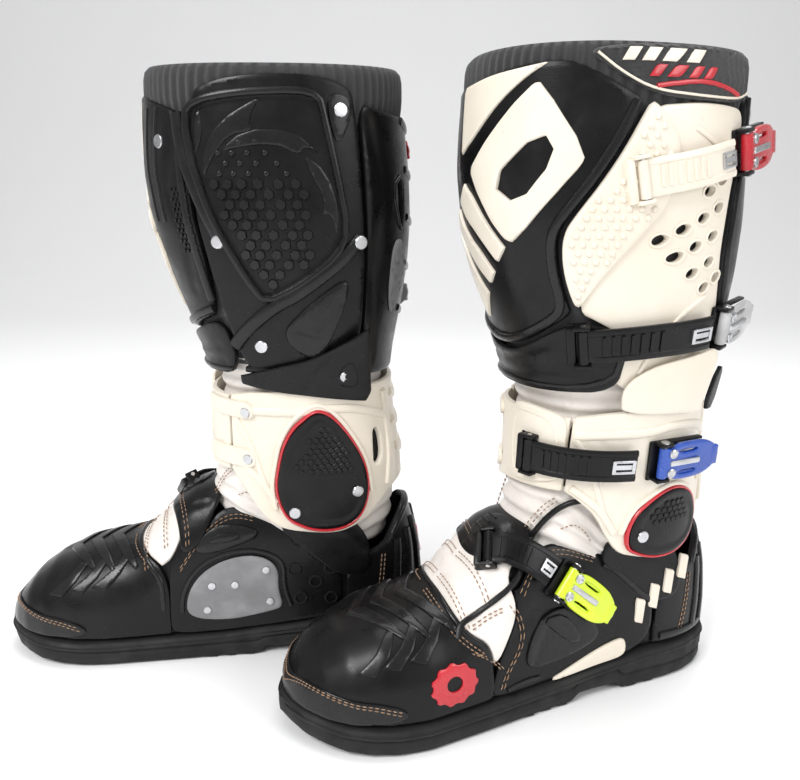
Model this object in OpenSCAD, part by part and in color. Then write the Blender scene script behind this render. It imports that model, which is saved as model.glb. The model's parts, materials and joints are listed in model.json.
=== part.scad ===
// Pair of motocross boots with a double-flex ankle: each boot is a foot, an ankle
// brace and a leg cuff joined by side pivots, with four hinged lever buckles.
// Boot frame: x towards the toe, y towards the outer side, z up, floor at z = 0.
// The right boot is the left boot mirrored in y.

/* [Placement] */
// left boot, ankle position across the pair
left_x = 166.3; // [60:0.1:220]
// left boot, ankle position in depth
left_y = -8.1; // [-120:0.1:120]
// left boot, toe turned towards the front
left_yaw = 19; // [-30:1:45]
// right boot, ankle position across the pair
right_x = -36.7; // [-200:0.1:0]
// right boot, ankle position in depth
right_y = 38.9; // [-60:0.1:160]
// right boot, toe turned towards the front
right_yaw = 3; // [-30:1:45]

/* [Ankle] */
// lower pivot, forward of the ankle centre
low_pivot_x = -5; // [-20:0.5:10]
// lower pivot height
low_pivot_z = 112; // [100:0.5:125]
// upper pivot, forward of the ankle centre
up_pivot_x = -10; // [-20:0.5:10]
// upper pivot height
up_pivot_z = 178; // [165:0.5:190]
// pivot pin radius
pin_r = 5; // [3:0.1:6]
// brace top height
brace_top = 198; // [190:1:202]

/* [Shells] */
// thickness of the moulded plates
plate_t = 3.5; // [2:0.1:4]
// gap between neighbouring plates, in degrees round the leg
plate_gap = 1.2; // [0.6:0.1:2]
// thickness of the padded inner boot
lining_t = 4; // [2:0.5:6]

/* [Buckles] */
// strap width
strap_w = 20; // [16:1:24]
// strap thickness
strap_t = 2.6; // [2:0.1:4]
// lever length
lever_l = 42; // [34:1:50]
// hinge pin radius of the levers and straps
hinge_r = 1.5; // [1:0.1:2]
// running clearance in the hinge bores
run_gap = 0.05; // [0.02:0.01:0.1]

/* [Sole] */
// depth of the tread grooves in the outsole's side
groove_d = 2.5; // [1:0.1:4]
// width of the tread grooves
groove_w = 4; // [2:0.5:6]
// height of the raised arch between heel block and forefoot
arch_h = 5; // [0:0.5:8]

/* [Hidden] */
// leg: front, back and half width against height
leg_front = [[60, 88], [90, 82], [120, 72], [150, 63], [175, 62], [200, 61], [225, 66],
  [250, 75], [280, 86], [310, 95], [340, 98], [370, 97], [405, 95]];
leg_back = [[60, -68], [90, -68], [120, -68], [150, -66], [175, -62], [200, -60], [225, -63],
  [250, -68], [280, -73], [310, -75], [340, -74], [370, -71], [405, -70]];
leg_half = [[60, 44], [90, 46], [120, 47], [150, 48], [175, 50], [200, 54], [225, 59],
  [250, 64], [280, 67], [310, 69], [340, 69], [370, 69], [405, 68]];
leg_n = 2.3;
// foot: welt height, top line, outer and inner half widths along x
foot_welt = [[-88, 28], [-20, 27], [20, 23], [60, 20], [150, 19], [190, 21], [220, 25]];
foot_top = [[-30, 100], [0, 110], [40, 119], [60, 121], [70, 120.5], [80, 117.5], [90, 111],
  [100, 102], [110, 91.5], [118, 84.5], [128, 80], [145, 77], [165, 72.5], [185, 64.5], [200, 54],
  [210, 43], [216, 34], [219.5, 27]];
foot_outer = [[-30, 38], [20, 40], [60, 43], [100, 49], [140, 54], [165, 52], [185, 45],
  [200, 35], [210, 24], [216, 14], [219.5, 2]];
foot_inner = [[-30, 36], [20, 38], [60, 41], [100, 44], [140, 47], [165, 47], [185, 42],
  [200, 35], [210, 26], [216, 17], [219.5, 2]];
foot_n = [[-30, 4.4], [15, 4.2], [45, 3.6], [75, 2.9], [105, 2.5], [220, 2.4]];
// rear edge of the toe cap and of the vamp against the angle round the foot
toe_back = [[0, 99], [10, 96], [22, 99], [34, 111], [50, 118], [70, 121], [90, 122], [110, 120],
  [130, 112], [142, 104], [152, 98], [180, 98]];
vamp_back = [[0, 98.2], [9, 95.2], [14, 88], [26, 77], [36, 80], [46, 84], [56, 74], [66, 64],
  [114, 64], [124, 74], [134, 86], [142, 92], [150, 96], [180, 97.2]];
heel_x = -30;
heel_len = [[28, 55], [50, 55], [75, 52], [95, 47], [112, 41]];
heel_half = [[28, 37.5], [60, 37.5], [84, 36.5], [112, 34]];
// sole outline half widths along x, floor level and side bulge
sole_x = [-89, -86, -80, -70, -56, -40, -20, -4, 0, 30, 36, 60, 80, 100, 120, 140, 160,
  176, 190, 201, 210, 217, 222];
sole_outer = [[-89, 4], [-86, 15], [-80, 24], [-70, 31], [-56, 36.5], [-40, 39], [-20, 40],
  [20, 42], [60, 46], [100, 52], [140, 57], [160, 56], [176, 52], [190, 45], [201, 36],
  [210, 26], [217, 15], [222, 3]];
sole_inner = [[-89, 4], [-86, 15], [-80, 24], [-70, 31], [-56, 36], [-40, 38], [-20, 38],
  [20, 39], [60, 42], [100, 46], [140, 49.5], [160, 50], [176, 48], [190, 43], [201, 36],
  [210, 28], [217, 18], [222, 3]];
sole_floor = [[-89, 3], [-84, 0], [-4, 0], [0, 5], [30, 5], [36, 0], [150, 0], [190, 2.5],
  [210, 6], [222, 11]];
LEG = 0;
FOOT = 1;
out_d = 0.8;
hinge_h = 6;
cream = [0.87, 0.85, 0.80];
black = [0.10, 0.10, 0.11];
grey = [0.45, 0.45, 0.46];
steel = [0.72, 0.73, 0.75];
red = [0.72, 0.10, 0.12];
blue = [0.10, 0.22, 0.55];
lime = [0.80, 0.88, 0.15];

function sgn(v) = v < 0 ? -1 : 1;
function unit(v) = v / norm(v);
function mix(a, b, s) = a + (b - a) * s;
function arc(v, e) = sgn(v) * pow(abs(v), e);

// point of the leg surface at angle t (0 front, 90 outer side), height z, offset d
function leg_pt(t, z, d) = let (f = lookup(z, leg_front), b = lookup(z, leg_back),
    w = lookup(z, leg_half), e = 2 / leg_n)
  [(f + b) / 2 + ((f - b) / 2 + d) * arc(cos(t), e), (w + d) * arc(sin(t), e), z];
// point of the foot surface at x, angle p (0 outer welt, 90 top, 180 inner welt), offset d
function foot_pt(x, p, d) = let (w = lookup(x, p < 90 ? foot_outer : foot_inner),
    b = lookup(x, foot_welt), h = lookup(x, foot_top) - b, e = 2 / lookup(x, foot_n))
  [x, (w + d) * arc(cos(p), e), b + (h + d) * pow(abs(sin(p)), e)];
// point of the heel surface at plan angle a (90 outer side, 180 back), height z, offset d
function heel_pt(a, z, d) = let (e = 2 / leg_n)
  [heel_x + (lookup(z, heel_len) + d) * arc(cos(a), e),
   (lookup(z, heel_half) + d) * arc(sin(a), e), z];
function surf(k, u, v, d) = k == LEG ? leg_pt(u, v, d) : foot_pt(u, v, d);
function surf_n(k, u, v) = (k == LEG ? 1 : -1) * unit(cross(
  surf(k, u + 0.5, v, 0) - surf(k, u - 0.5, v, 0), surf(k, u, v + 0.5, 0) - surf(k, u, v - 0.5, 0)));

// closed body between an outer and an inner grid of points, columns running anticlockwise
module skin(o, i) {
  nv = len(o);
  nu = len(o[0]);
  n = nv * nu;
  function q(a, b, c, d) = [[a, b, c], [a, c, d]];
  polyhedron(concat([for (r = o) each r], [for (r = i) each r]), concat(
    [for (j = [0:nv - 2], k = [0:nu - 2]) let (a = j * nu + k) each q(a, a + nu, a + nu + 1, a + 1)],
    [for (j = [0:nv - 2], k = [0:nu - 2]) let (a = n + j * nu + k)
      each q(a, a + 1, a + nu + 1, a + nu)],
    [for (k = [0:nu - 2]) each q(k, k + 1, n + k + 1, n + k)],
    [for (k = [0:nu - 2]) let (a = (nv - 1) * nu + k) each q(a, n + a, n + a + 1, a + 1)],
    [for (j = [0:nv - 2]) let (a = j * nu) each q(a, n + a, n + a + nu, a + nu)],
    [for (j = [0:nv - 2]) let (a = j * nu + nu - 1) each q(a, a + nu, n + a + nu, n + a)]));
}

// plate on the leg: side edges (angle against v), bottom and top edges (height against u)
module leg_plate(tl, tr, zb, zt, d0, d1, nu, nv) {
  function g(d) = [for (j = [0:nv]) [for (k = [0:nu]) let (u = k / nu, v = j / nv)
    leg_pt(mix(lookup(v, tl), lookup(v, tr), u), mix(lookup(u, zb), lookup(u, zt), v), d)]];
  skin(g(d1), g(d0));
}

// plate on the foot: toe and heel ends (x against angle), lower and upper edges (angle against u)
module foot_plate(xa, xb, pb, pt, d0, d1, nu, nv) {
  function g(d) = [for (j = [0:nv]) [for (k = [0:nu]) let (u = k / nu, v = j / nv,
      p = mix(lookup(u, pb), lookup(u, pt), v))
    foot_pt(mix(lookup(p, xa), lookup(p, xb), u), p, d)]];
  skin(g(d1), g(d0));
}

function flat(v) = [[0, v], [1, v]];
function moved(t, x) = [for (r = t) [r[0], r[1] + x]];

// strap body along a surface from [u, v] to [u, v], lying between offsets d0 and d1
module band(k, a, b, d0, d1, w, n) {
  function row(s, side, d) = let (u = mix(a[0], b[0], s), v = mix(a[1], b[1], s),
      t = unit(surf(k, u + (b[0] - a[0]) * 0.02, v + (b[1] - a[1]) * 0.02, 0)
        - surf(k, u - (b[0] - a[0]) * 0.02, v - (b[1] - a[1]) * 0.02, 0)),
      m = surf_n(k, u, v))
    surf(k, u, v, 0) + m * d + unit(cross(m, t)) * side * w / 2;
  skin([for (h = [-1, 0, 1]) [for (i = [0:n]) row(i / n, h, d1)]],
    [for (h = [-1, 0, 1]) [for (i = [0:n]) row(i / n, h, d0)]]);
}

// local frame on a surface: x along the strap, y across it, z outwards
function frame_at(k, a, b, d) = let (m = surf_n(k, a[0], a[1]), s = 0.02,
    t0 = surf(k, a[0] + (b[0] - a[0]) * s, a[1] + (b[1] - a[1]) * s, 0) - surf(k, a[0], a[1], 0),
    t = unit(t0 - m * (t0 * m)), y = cross(m, t), o = surf(k, a[0], a[1], 0) + m * d)
  [[t[0], y[0], m[0], o[0]], [t[1], y[1], m[1], o[1]], [t[2], y[2], m[2], o[2]], [0, 0, 0, 1]];

module bar_y(r, l, z) {
  translate([0, 0, z]) rotate([90, 0, 0]) cylinder(r = r, h = l, center = true, $fn = 24);
}

// hinge bracket: foot plate, two cheeks and the pin they hold
module bracket(w, x0, x1) {
  translate([x0, -w / 2 - 2.6, out_d]) cube([x1 - x0, w + 5.2, 1.6]);
  for (s = [-1, 1]) translate([-3.6, s > 0 ? w / 2 + 0.5 : -w / 2 - 2.6, out_d])
    cube([7.2, 2.1, hinge_h + 2.4 - out_d]);
  bar_y(hinge_r, w + 4.4, hinge_h);
}

// lever: hub on the pin, arm with a finger lip
module lever() {
  difference() {
    union() {
      bar_y(3, strap_w, hinge_h);
      translate([0, -strap_w / 2, hinge_h - 1]) cube([lever_l - 4, strap_w, 3]);
      translate([lever_l - 5, -strap_w / 2 + 1.5, hinge_h - 1]) cube([5, strap_w - 3, 4.2]);
    }
    bar_y(hinge_r + run_gap, strap_w + 2, hinge_h);
    for (s = [-1, 1]) translate([lever_l * 0.55, s * strap_w * 0.22, 0])
      cylinder(r = 2.2, h = 20, $fn = 20);
  }
}

// strap: eye on the pin and the curved band
module strap(k, a, b, base, n) {
  m = frame_at(k, a, b, base);
  difference() {
    union() {
      band(k, [mix(a[0], b[0], 0.03), mix(a[1], b[1], 0.03)], b, base + hinge_h - 1.6,
        base + hinge_h - 1.6 + strap_t, strap_w, n);
      multmatrix(m) bar_y(3, strap_w, hinge_h);
    }
    multmatrix(m) bar_y(hinge_r + run_gap, strap_w + 6, hinge_h);
  }
}

// strap runs: surface, anchor, strap end, lever hinge, point under the lever's tip, standoff
top_run = [LEG, [80, 335], [115, 347], [124, 350], [150, 356], 0];
calf_run = [LEG, [53, 245], [112, 250], [122, 251], [150, 254], 0];
ankle_run = [LEG, [22, 171], [84, 169], [95, 169], [135, 170], 2.5];
instep_run = [FOOT, [88, 70], [54, 38], [46, 31], [14, 4], 0];

module run_base(r, front, back) {
  multmatrix(frame_at(r[0], r[3], r[4], r[5])) bracket(strap_w, front, back);
}
module run_anchor(r) { multmatrix(frame_at(r[0], r[1], r[2], r[5])) bracket(strap_w, -7, 4); }
module run_lever(r) { multmatrix(frame_at(r[0], r[3], r[4], r[5])) lever(); }
module run_strap(r, n) { strap(r[0], r[1], r[2], r[5], n); }

module disc(k, a, d, r, h) {
  multmatrix(frame_at(k, a, [a[0] + 1, a[1]], d)) cylinder(r = r, h = h, $fn = 20);
}

module side(s, x, z, y0, y1, r) {
  translate([x, s * y0, z]) rotate([s > 0 ? -90 : 90, 0, 0]) cylinder(r = r, h = y1 - y0, $fn = 32);
}

module outsole() {
  function ring(x) = let (o = lookup(x, sole_outer), i = lookup(x, sole_inner),
      b = lookup(x, sole_floor), t = lookup(x, foot_welt) - 1.2)
    [[x, o - 3, b], [x, o, b + 4], [x, o, t - 3], [x, o - 1.5, t], [x, -i + 1.5, t],
     [x, -i, t - 3], [x, -i, b + 4], [x, -i + 3, b]];
  n = len(sole_x);
  color(black) difference() {
    polyhedron([for (x = sole_x) each [for (p = ring(x)) [p[0], abs(p[1]) < 0.5 ? 0.5 : p[1], p[2]]]],
      concat([[for (k = [0:7]) k]],
        [for (i = [0:n - 2], k = [0:7]) let (a = i * 8 + k, b = i * 8 + (k + 1) % 8)
          each [[a, a + 8, b + 8], [a, b + 8, b]]],
        [[for (k = [7:-1:0]) (n - 1) * 8 + k]]));
    for (x = [48:14:132], s = [-1, 1])
      translate([x, s * (s > 0 ? lookup(x, sole_outer) : lookup(x, sole_inner)), 0])
        cube([groove_w, 2 * groove_d, 14], center = true);
    for (x = [-66:14:-20], s = [-1, 1]) translate([x, s * lookup(x, sole_outer), 0])
      cube([groove_w, 2 * groove_d + 2, 16], center = true);
  }
}

module vamp() {
  color(cream) foot_plate(moved(toe_back, -0.8), vamp_back, flat(14), flat(146), -plate_t, 0, 10, 22);
}

module toe_cap() {
  color(black) foot_plate(flat(219.4), toe_back, flat(0), flat(180), -plate_t, 0.6, 14, 20);
}

module heel_cup() {
  function rear(a) = 1 - abs(a - 180) / 92;
  function g(d) = [for (v = [0, 0.25, 0.5, 0.75, 1]) [for (a = [88:8:272]) heel_pt(a,
    mix(29, a < 120 || a > 240 ? 71 + 36 * rear(a) : 83 + 26 * sin(90 * rear(a)), v), d)]];
  color(black) difference() {
    union() {
      skin(g(0), g(-plate_t));
      for (s = [-1, 1]) translate([0, s > 0 ? 38.4 : -35, 0]) rotate([90, 0, 0])
        linear_extrude(3.4) hull() {
          translate([low_pivot_x, low_pivot_z]) circle(r = 12, $fn = 40);
          translate([-40, 72]) circle(r = 8, $fn = 28);
        }
    }
    for (s = [-1, 1]) side(s, low_pivot_x, low_pivot_z, 30, 42, pin_r + run_gap);
  }
}

module outer_panel() {
  color(black) foot_plate(moved(vamp_back, -1.5), flat(-26.3), flat(0), [[0, 44], [0.15, 51], [0.3, 51],
    [0.55, 42], [0.7, 40], [0.8, 31], [0.9, 23], [1, 16]], -plate_t, 0, 18, 8);
}

module inner_panel() {
  color(black) foot_plate(moved(vamp_back, -1.5), flat(-26.3), [[0, 134], [0.15, 129], [0.3, 129],
    [0.55, 138], [0.7, 140], [0.8, 149], [0.9, 157], [1, 164]], flat(180), -plate_t, 0, 18, 8);
}

module shift_plate() {
  color(grey) difference() {
    foot_plate([[148, 72], [176, 84]], [[148, 20], [176, 22]], [[0, 150], [1, 157]],
      [[0, 174], [1, 177]], 0.8, 3.2, 8, 6);
    for (p = [[30, 164], [30, 173], [68, 158], [72, 170]])
      translate(foot_pt(p[0], p[1], 2.4)) rotate([90, 0, 0]) cylinder(r = 2, h = 12, $fn = 20);
  }
}

module instep_anchor() { color(black) run_anchor(instep_run); }
module instep_base() { color(black) run_base(instep_run, -6, 9); }

module ankle_brace() {
  color(cream) difference() {
    leg_plate(flat(46), flat(314), [[0, 140], [0.09, 119], [0.165, 99], [0.235, 97], [0.3, 104],
      [0.37, 121], [0.43, 127], [0.57, 127], [0.63, 121], [0.7, 104], [0.765, 97], [0.835, 99],
      [0.91, 119], [1, 140]], [[0, brace_top], [0.12, brace_top + 5], [0.88, brace_top + 5],
      [1, brace_top]], -0.5, 2.5, 44, 6);
    for (s = [-1, 1]) {
      side(s, low_pivot_x, low_pivot_z, 30, 60, pin_r + 0.02);
      side(s, up_pivot_x, up_pivot_z, 30, 60, pin_r + 0.02);
    }
  }
}

module front_plate() {
  color(cream) leg_plate(flat(-44.6), flat(44.6), [[0, 141], [0.5, 139], [1, 141]],
    flat(brace_top - 1), -0.5, 2.5, 14, 5);
  color(black) run_anchor(ankle_run);
}

module pivot_covers() {
  color(black) {
    leg_plate([[0, 98], [0.15, 90], [0.4, 86.5], [0.7, 89], [0.9, 94], [1, 99]],
      [[0, 115], [0.15, 123], [0.4, 129], [0.7, 128], [0.9, 122], [1, 115]],
      [[0, 103], [0.5, 101], [1, 103]], [[0, 147], [0.5, 148], [1, 147]], 3, 5.8, 8, 10);
    leg_plate([[0, 250], [0.12, 240], [0.3, 234.5], [0.55, 240], [0.8, 250], [0.94, 258], [1, 261]],
      [[0, 266], [0.12, 273], [0.3, 280], [0.55, 281], [0.8, 274], [0.94, 267], [1, 264.5]],
      [[0, 103], [0.5, 101], [1, 103]], [[0, 188], [0.5, 189], [1, 188]], 3, 5.8, 8, 14);
  }
}

module ankle_pivots() {
  color(steel) for (s = [-1, 1]) {
    side(s, low_pivot_x, low_pivot_z, 32.4, 48.3, pin_r);
    side(s, low_pivot_x, low_pivot_z, 32.4, 34.6, pin_r + 2.5);
    side(s, low_pivot_x, low_pivot_z, 39, 44.6, pin_r + 3.5);
    side(s, up_pivot_x, up_pivot_z, 40.6, 52, pin_r);
    side(s, up_pivot_x, up_pivot_z, 40.6, 43, pin_r + 2.5);
  }
}

module ankle_base() { color(black) run_base(ankle_run, -6, 9); }

module bootie() {
  rows = [[128, -12], [160, -12], [192, -11.8], [204, -12.6], [216, -11], [228, -9.2], [240, -5.6],
    [256, -4.8], [290, -4.8], [330, -4.8], [370, -4.8], [396, -4.8], [401, -3], [404, -4.6]];
  nu = 32;
  nv = len(rows);
  n = nv * nu;
  function g(t) = [for (r = rows) each [for (k = [0:nu - 1]) leg_pt(k * 360 / nu, r[0], r[1] - t)]];
  color(black) polyhedron(concat(g(0), g(lining_t)), concat(
    [for (j = [0:nv - 2], k = [0:nu - 1]) let (a = j * nu + k, b = j * nu + (k + 1) % nu)
      each [[a, a + nu, b + nu], [a, b + nu, b],
        [n + a, n + b + nu, n + a + nu], [n + a, n + b, n + b + nu]]],
    [for (k = [0:nu - 1]) let (b = (k + 1) % nu) each [[k, b, n + b], [k, n + b, n + k]]],
    [for (k = [0:nu - 1]) let (a = n - nu + k, b = n - nu + (k + 1) % nu)
      each [[a, n + a, n + b], [a, n + b, b]]]));
}

module shin_plate() {
  color(black) leg_plate(flat(-58), [[0, 50], [0.35, 48], [0.6, 65], [1, 81]],
    [[0, 252], [0.53, 236], [1, 262]], [[0, 372], [0.4, 386], [0.75, 394], [1, 376]],
    -plate_t, 0, 20, 10);
  color(cream) leg_plate([[0, 51.5], [0.35, 49.5], [0.6, 66.5], [1, 82.5]],
    [[0, 53], [0.26, 72], [0.5, 89], [0.83, 92], [1, 86]], [[0, 264], [1, 265]],
    [[0, 376], [1, 373]], -plate_t, 0, 5, 10);
}

module lower_shin_plate() {
  color(black) leg_plate([[0, -59], [1, -59]], [[0, 69.5], [1, 77.5]],
    [[0, 212], [0.5, 211], [1, 215]], [[0, 248], [0.44, 232.5], [0.8, 256], [0.85, 257], [1, 252]],
    -plate_t, 0, 16, 4);
}

module calf_plate() {
  color(black) leg_plate([[0, 132.6], [0.25, 123.6], [0.48, 117.8], [0.71, 122.8], [0.94, 132.8], [1, 133.4]],
    flat(241), [[0, 210], [0.5, 208], [1, 210]], [[0, 384], [0.3, 376], [0.7, 374], [1, 386]],
    -plate_t, 0, 16, 10);
}

// lug that carries a cuff shell down to the upper pivot
module cuff_lug(s) {
  difference() {
    union() {
      translate([0, s > 0 ? 46.8 : -43.6, 0]) rotate([90, 0, 0]) linear_extrude(3.2) hull() {
        translate([up_pivot_x, up_pivot_z]) circle(r = 12, $fn = 40);
        translate([up_pivot_x - 3, 204]) square([16, 8], center = true);
      }
      multmatrix([[1, 0, 0, up_pivot_x - 3], [0, 1, 0.36 * s, s * 45.2], [0, 0, 1, 204], [0, 0, 0, 1]])
        translate([-8, -1.6, 0]) cube([16, 3.2, 22]);
    }
    side(s, up_pivot_x, up_pivot_z, 38, 52, pin_r + run_gap);
  }
}

module outer_shell() {
  color(cream) {
    leg_plate([[0, 71.5], [0.22, 79], [0.27, 79.5], [0.33, 60], [0.5, 75], [0.67, 91], [0.9, 93.8], [1, 88]],
      [[0, 131], [0.25, 122], [0.5, 116], [0.75, 121], [1, 131]], flat(212), flat(372),
      -plate_t, 0, 10, 18);
    cuff_lug(1);
  }
}

module inner_guard() {
  color(black) {
    leg_plate(flat(242.2), flat(300.6), flat(212), [[0, 388], [0.4, 386], [1, 374]], -plate_t, 0, 12, 10);
    cuff_lug(-1);
  }
}

module cuff_bases() {
  color(black) {
    run_base(top_run, -6, 9);
    run_base(calf_run, -6, 9);
    run_anchor(calf_run);
  }
  color(cream) run_anchor(top_run);
}

module cuff_screws() {
  color(steel) for (a = [[-112, 366], [-121, 300], [-64, 299], [-75, 232], [-112, 220],
      [-40, 350], [140, 372], [140, 222]]) disc(LEG, a, 0.5, 4.2, 1.6);
}

module place_left() { translate([left_x, left_y, 0]) rotate([0, 0, 180 + left_yaw]) children(); }
module place_right() {
  translate([right_x, right_y, 0]) rotate([0, 0, 180 + right_yaw]) mirror([0, 1, 0]) children();
}

module top_lever() { color(red) run_lever(top_run); }
module calf_lever() { color(cream) run_lever(calf_run); }
module ankle_lever() { color(blue) run_lever(ankle_run); }
module instep_lever() { color(lime) run_lever(instep_run); }
module top_strap() { color(cream) run_strap(top_run, 10); }
module calf_strap() { color(black) run_strap(calf_run, 14); }
module ankle_strap() { color(black) run_strap(ankle_run, 14); }
module instep_strap() { color(black) run_strap(instep_run, 8); }

module left_outsole() { place_left() outsole(); }
module left_vamp() { place_left() vamp(); }
module left_toe_cap() { place_left() toe_cap(); }
module left_heel_cup() { place_left() heel_cup(); }
module left_outer_panel() { place_left() outer_panel(); }
module left_inner_panel() { place_left() inner_panel(); }
module left_shift_plate() { place_left() shift_plate(); }
module left_instep_anchor() { place_left() instep_anchor(); }
module left_instep_base() { place_left() instep_base(); }
module left_ankle_brace() { place_left() ankle_brace(); }
module left_front_plate() { place_left() front_plate(); }
module left_pivot_covers() { place_left() pivot_covers(); }
module left_ankle_pivots() { place_left() ankle_pivots(); }
module left_ankle_base() { place_left() ankle_base(); }
module left_bootie() { place_left() bootie(); }
module left_shin_plate() { place_left() shin_plate(); }
module left_lower_shin_plate() { place_left() lower_shin_plate(); }
module left_calf_plate() { place_left() calf_plate(); }
module left_outer_shell() { place_left() outer_shell(); }
module left_inner_guard() { place_left() inner_guard(); }
module left_cuff_bases() { place_left() cuff_bases(); }
module left_cuff_screws() { place_left() cuff_screws(); }
module left_top_lever() { place_left() top_lever(); }
module left_calf_lever() { place_left() calf_lever(); }
module left_ankle_lever() { place_left() ankle_lever(); }
module left_instep_lever() { place_left() instep_lever(); }
module left_top_strap() { place_left() top_strap(); }
module left_calf_strap() { place_left() calf_strap(); }
module left_ankle_strap() { place_left() ankle_strap(); }
module left_instep_strap() { place_left() instep_strap(); }
module right_outsole() { place_right() outsole(); }
module right_vamp() { place_right() vamp(); }
module right_toe_cap() { place_right() toe_cap(); }
module right_heel_cup() { place_right() heel_cup(); }
module right_outer_panel() { place_right() outer_panel(); }
module right_inner_panel() { place_right() inner_panel(); }
module right_shift_plate() { place_right() shift_plate(); }
module right_instep_anchor() { place_right() instep_anchor(); }
module right_instep_base() { place_right() instep_base(); }
module right_ankle_brace() { place_right() ankle_brace(); }
module right_front_plate() { place_right() front_plate(); }
module right_pivot_covers() { place_right() pivot_covers(); }
module right_ankle_pivots() { place_right() ankle_pivots(); }
module right_ankle_base() { place_right() ankle_base(); }
module right_bootie() { place_right() bootie(); }
module right_shin_plate() { place_right() shin_plate(); }
module right_lower_shin_plate() { place_right() lower_shin_plate(); }
module right_calf_plate() { place_right() calf_plate(); }
module right_outer_shell() { place_right() outer_shell(); }
module right_inner_guard() { place_right() inner_guard(); }
module right_cuff_bases() { place_right() cuff_bases(); }
module right_cuff_screws() { place_right() cuff_screws(); }
module right_top_lever() { place_right() top_lever(); }
module right_calf_lever() { place_right() calf_lever(); }
module right_ankle_lever() { place_right() ankle_lever(); }
module right_instep_lever() { place_right() instep_lever(); }
module right_top_strap() { place_right() top_strap(); }
module right_calf_strap() { place_right() calf_strap(); }
module right_ankle_strap() { place_right() ankle_strap(); }
module right_instep_strap() { place_right() instep_strap(); }

left_outsole();
left_vamp();
left_toe_cap();
left_heel_cup();
left_outer_panel();
left_inner_panel();
left_shift_plate();
left_instep_anchor();
left_instep_base();
left_ankle_brace();
left_front_plate();
left_pivot_covers();
left_ankle_pivots();
left_ankle_base();
left_bootie();
left_shin_plate();
left_lower_shin_plate();
left_calf_plate();
left_outer_shell();
left_inner_guard();
left_cuff_bases();
left_cuff_screws();
left_top_lever();
left_calf_lever();
left_ankle_lever();
left_instep_lever();
left_top_strap();
left_calf_strap();
left_ankle_strap();
left_instep_strap();
right_outsole();
right_vamp();
right_toe_cap();
right_heel_cup();
right_outer_panel();
right_inner_panel();
right_shift_plate();
right_instep_anchor();
right_instep_base();
right_ankle_brace();
right_front_plate();
right_pivot_covers();
right_ankle_pivots();
right_ankle_base();
right_bootie();
right_shin_plate();
right_lower_shin_plate();
right_calf_plate();
right_outer_shell();
right_inner_guard();
right_cuff_bases();
right_cuff_screws();
right_top_lever();
right_calf_lever();
right_ankle_lever();
right_instep_lever();
right_top_strap();
right_calf_strap();
right_ankle_strap();
right_instep_strap();
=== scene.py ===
"""A pair of motocross boots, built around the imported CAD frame.

Each piece is worked out once for the left boot, in millimetres, in the boot's own
frame (x to the toe, y to the outer side, z up), then placed for the left boot and
mirrored for the right one.
"""

import json
import math

import bmesh
import bpy
import numpy as np
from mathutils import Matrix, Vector, geometry


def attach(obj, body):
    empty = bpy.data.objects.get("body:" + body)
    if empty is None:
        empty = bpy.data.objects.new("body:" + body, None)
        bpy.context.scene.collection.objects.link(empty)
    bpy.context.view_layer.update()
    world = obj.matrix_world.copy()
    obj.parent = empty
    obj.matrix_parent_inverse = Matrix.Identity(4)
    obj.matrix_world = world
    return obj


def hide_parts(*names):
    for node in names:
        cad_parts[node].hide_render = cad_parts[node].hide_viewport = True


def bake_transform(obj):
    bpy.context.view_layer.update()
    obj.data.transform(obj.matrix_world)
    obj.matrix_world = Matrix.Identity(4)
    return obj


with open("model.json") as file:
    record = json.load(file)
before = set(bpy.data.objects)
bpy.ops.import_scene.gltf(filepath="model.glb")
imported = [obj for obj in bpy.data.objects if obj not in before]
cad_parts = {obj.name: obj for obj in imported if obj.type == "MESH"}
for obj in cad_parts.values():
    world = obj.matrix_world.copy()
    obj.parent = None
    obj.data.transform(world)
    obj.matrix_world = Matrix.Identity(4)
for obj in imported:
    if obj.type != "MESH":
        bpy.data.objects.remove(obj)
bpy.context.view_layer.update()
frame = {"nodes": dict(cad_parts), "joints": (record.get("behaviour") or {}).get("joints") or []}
JOINTS = {j["name"]: j for j in frame["joints"]}

MM = 0.001
PLACES = {"left": (166.3, -8.1, 19.0), "right": (-36.7, 38.9, 3.0)}
LEG_N = 2.3

# ---------------------------------------------------------------- surfaces


def curve(rows, soft):
    """A smooth function through a table of (position, value), rounded over soft mm."""
    xs, ys = np.array(rows, float).T
    grid = np.arange(xs[0], xs[-1] + 0.5, 0.5)
    pad = int(soft * 2)
    wide = np.interp(grid, xs, ys)
    left = 2 * wide[0] - wide[1 : pad + 1][::-1]
    right = 2 * wide[-1] - wide[-pad - 1 : -1][::-1]
    wide = np.concatenate([left, wide, right])
    w = np.hanning(2 * pad + 1)
    out = np.convolve(wide, w / w.sum(), "valid")
    return lambda v: np.interp(v, grid, out)


leg_front = curve([(60, 88), (90, 82), (120, 72), (150, 63), (175, 62), (200, 61), (225, 66),
                   (250, 75), (280, 86), (310, 95), (340, 98), (370, 97), (405, 95)], 14)
leg_back = curve([(60, -68), (90, -68), (120, -68), (150, -66), (175, -62), (200, -60), (225, -63),
                  (250, -68), (280, -73), (310, -75), (340, -74), (370, -71), (405, -70)], 14)
leg_half = curve([(60, 44), (90, 46), (120, 47), (150, 48), (175, 50), (200, 54), (225, 59),
                  (250, 64), (280, 67), (310, 69), (340, 69), (370, 69), (405, 68)], 14)
foot_welt = curve([(-88, 28), (-20, 27), (20, 23), (60, 20), (150, 19), (190, 21), (220, 25)], 12)
foot_top = curve([(-30, 100), (0, 110), (40, 119), (60, 121), (70, 120.5), (80, 117.5), (90, 111),
                  (100, 102), (110, 91.5), (118, 84.5), (128, 80), (145, 77), (165, 72.5),
                  (185, 64.5), (200, 54), (210, 43), (216, 34), (219.5, 27)], 4)
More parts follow.
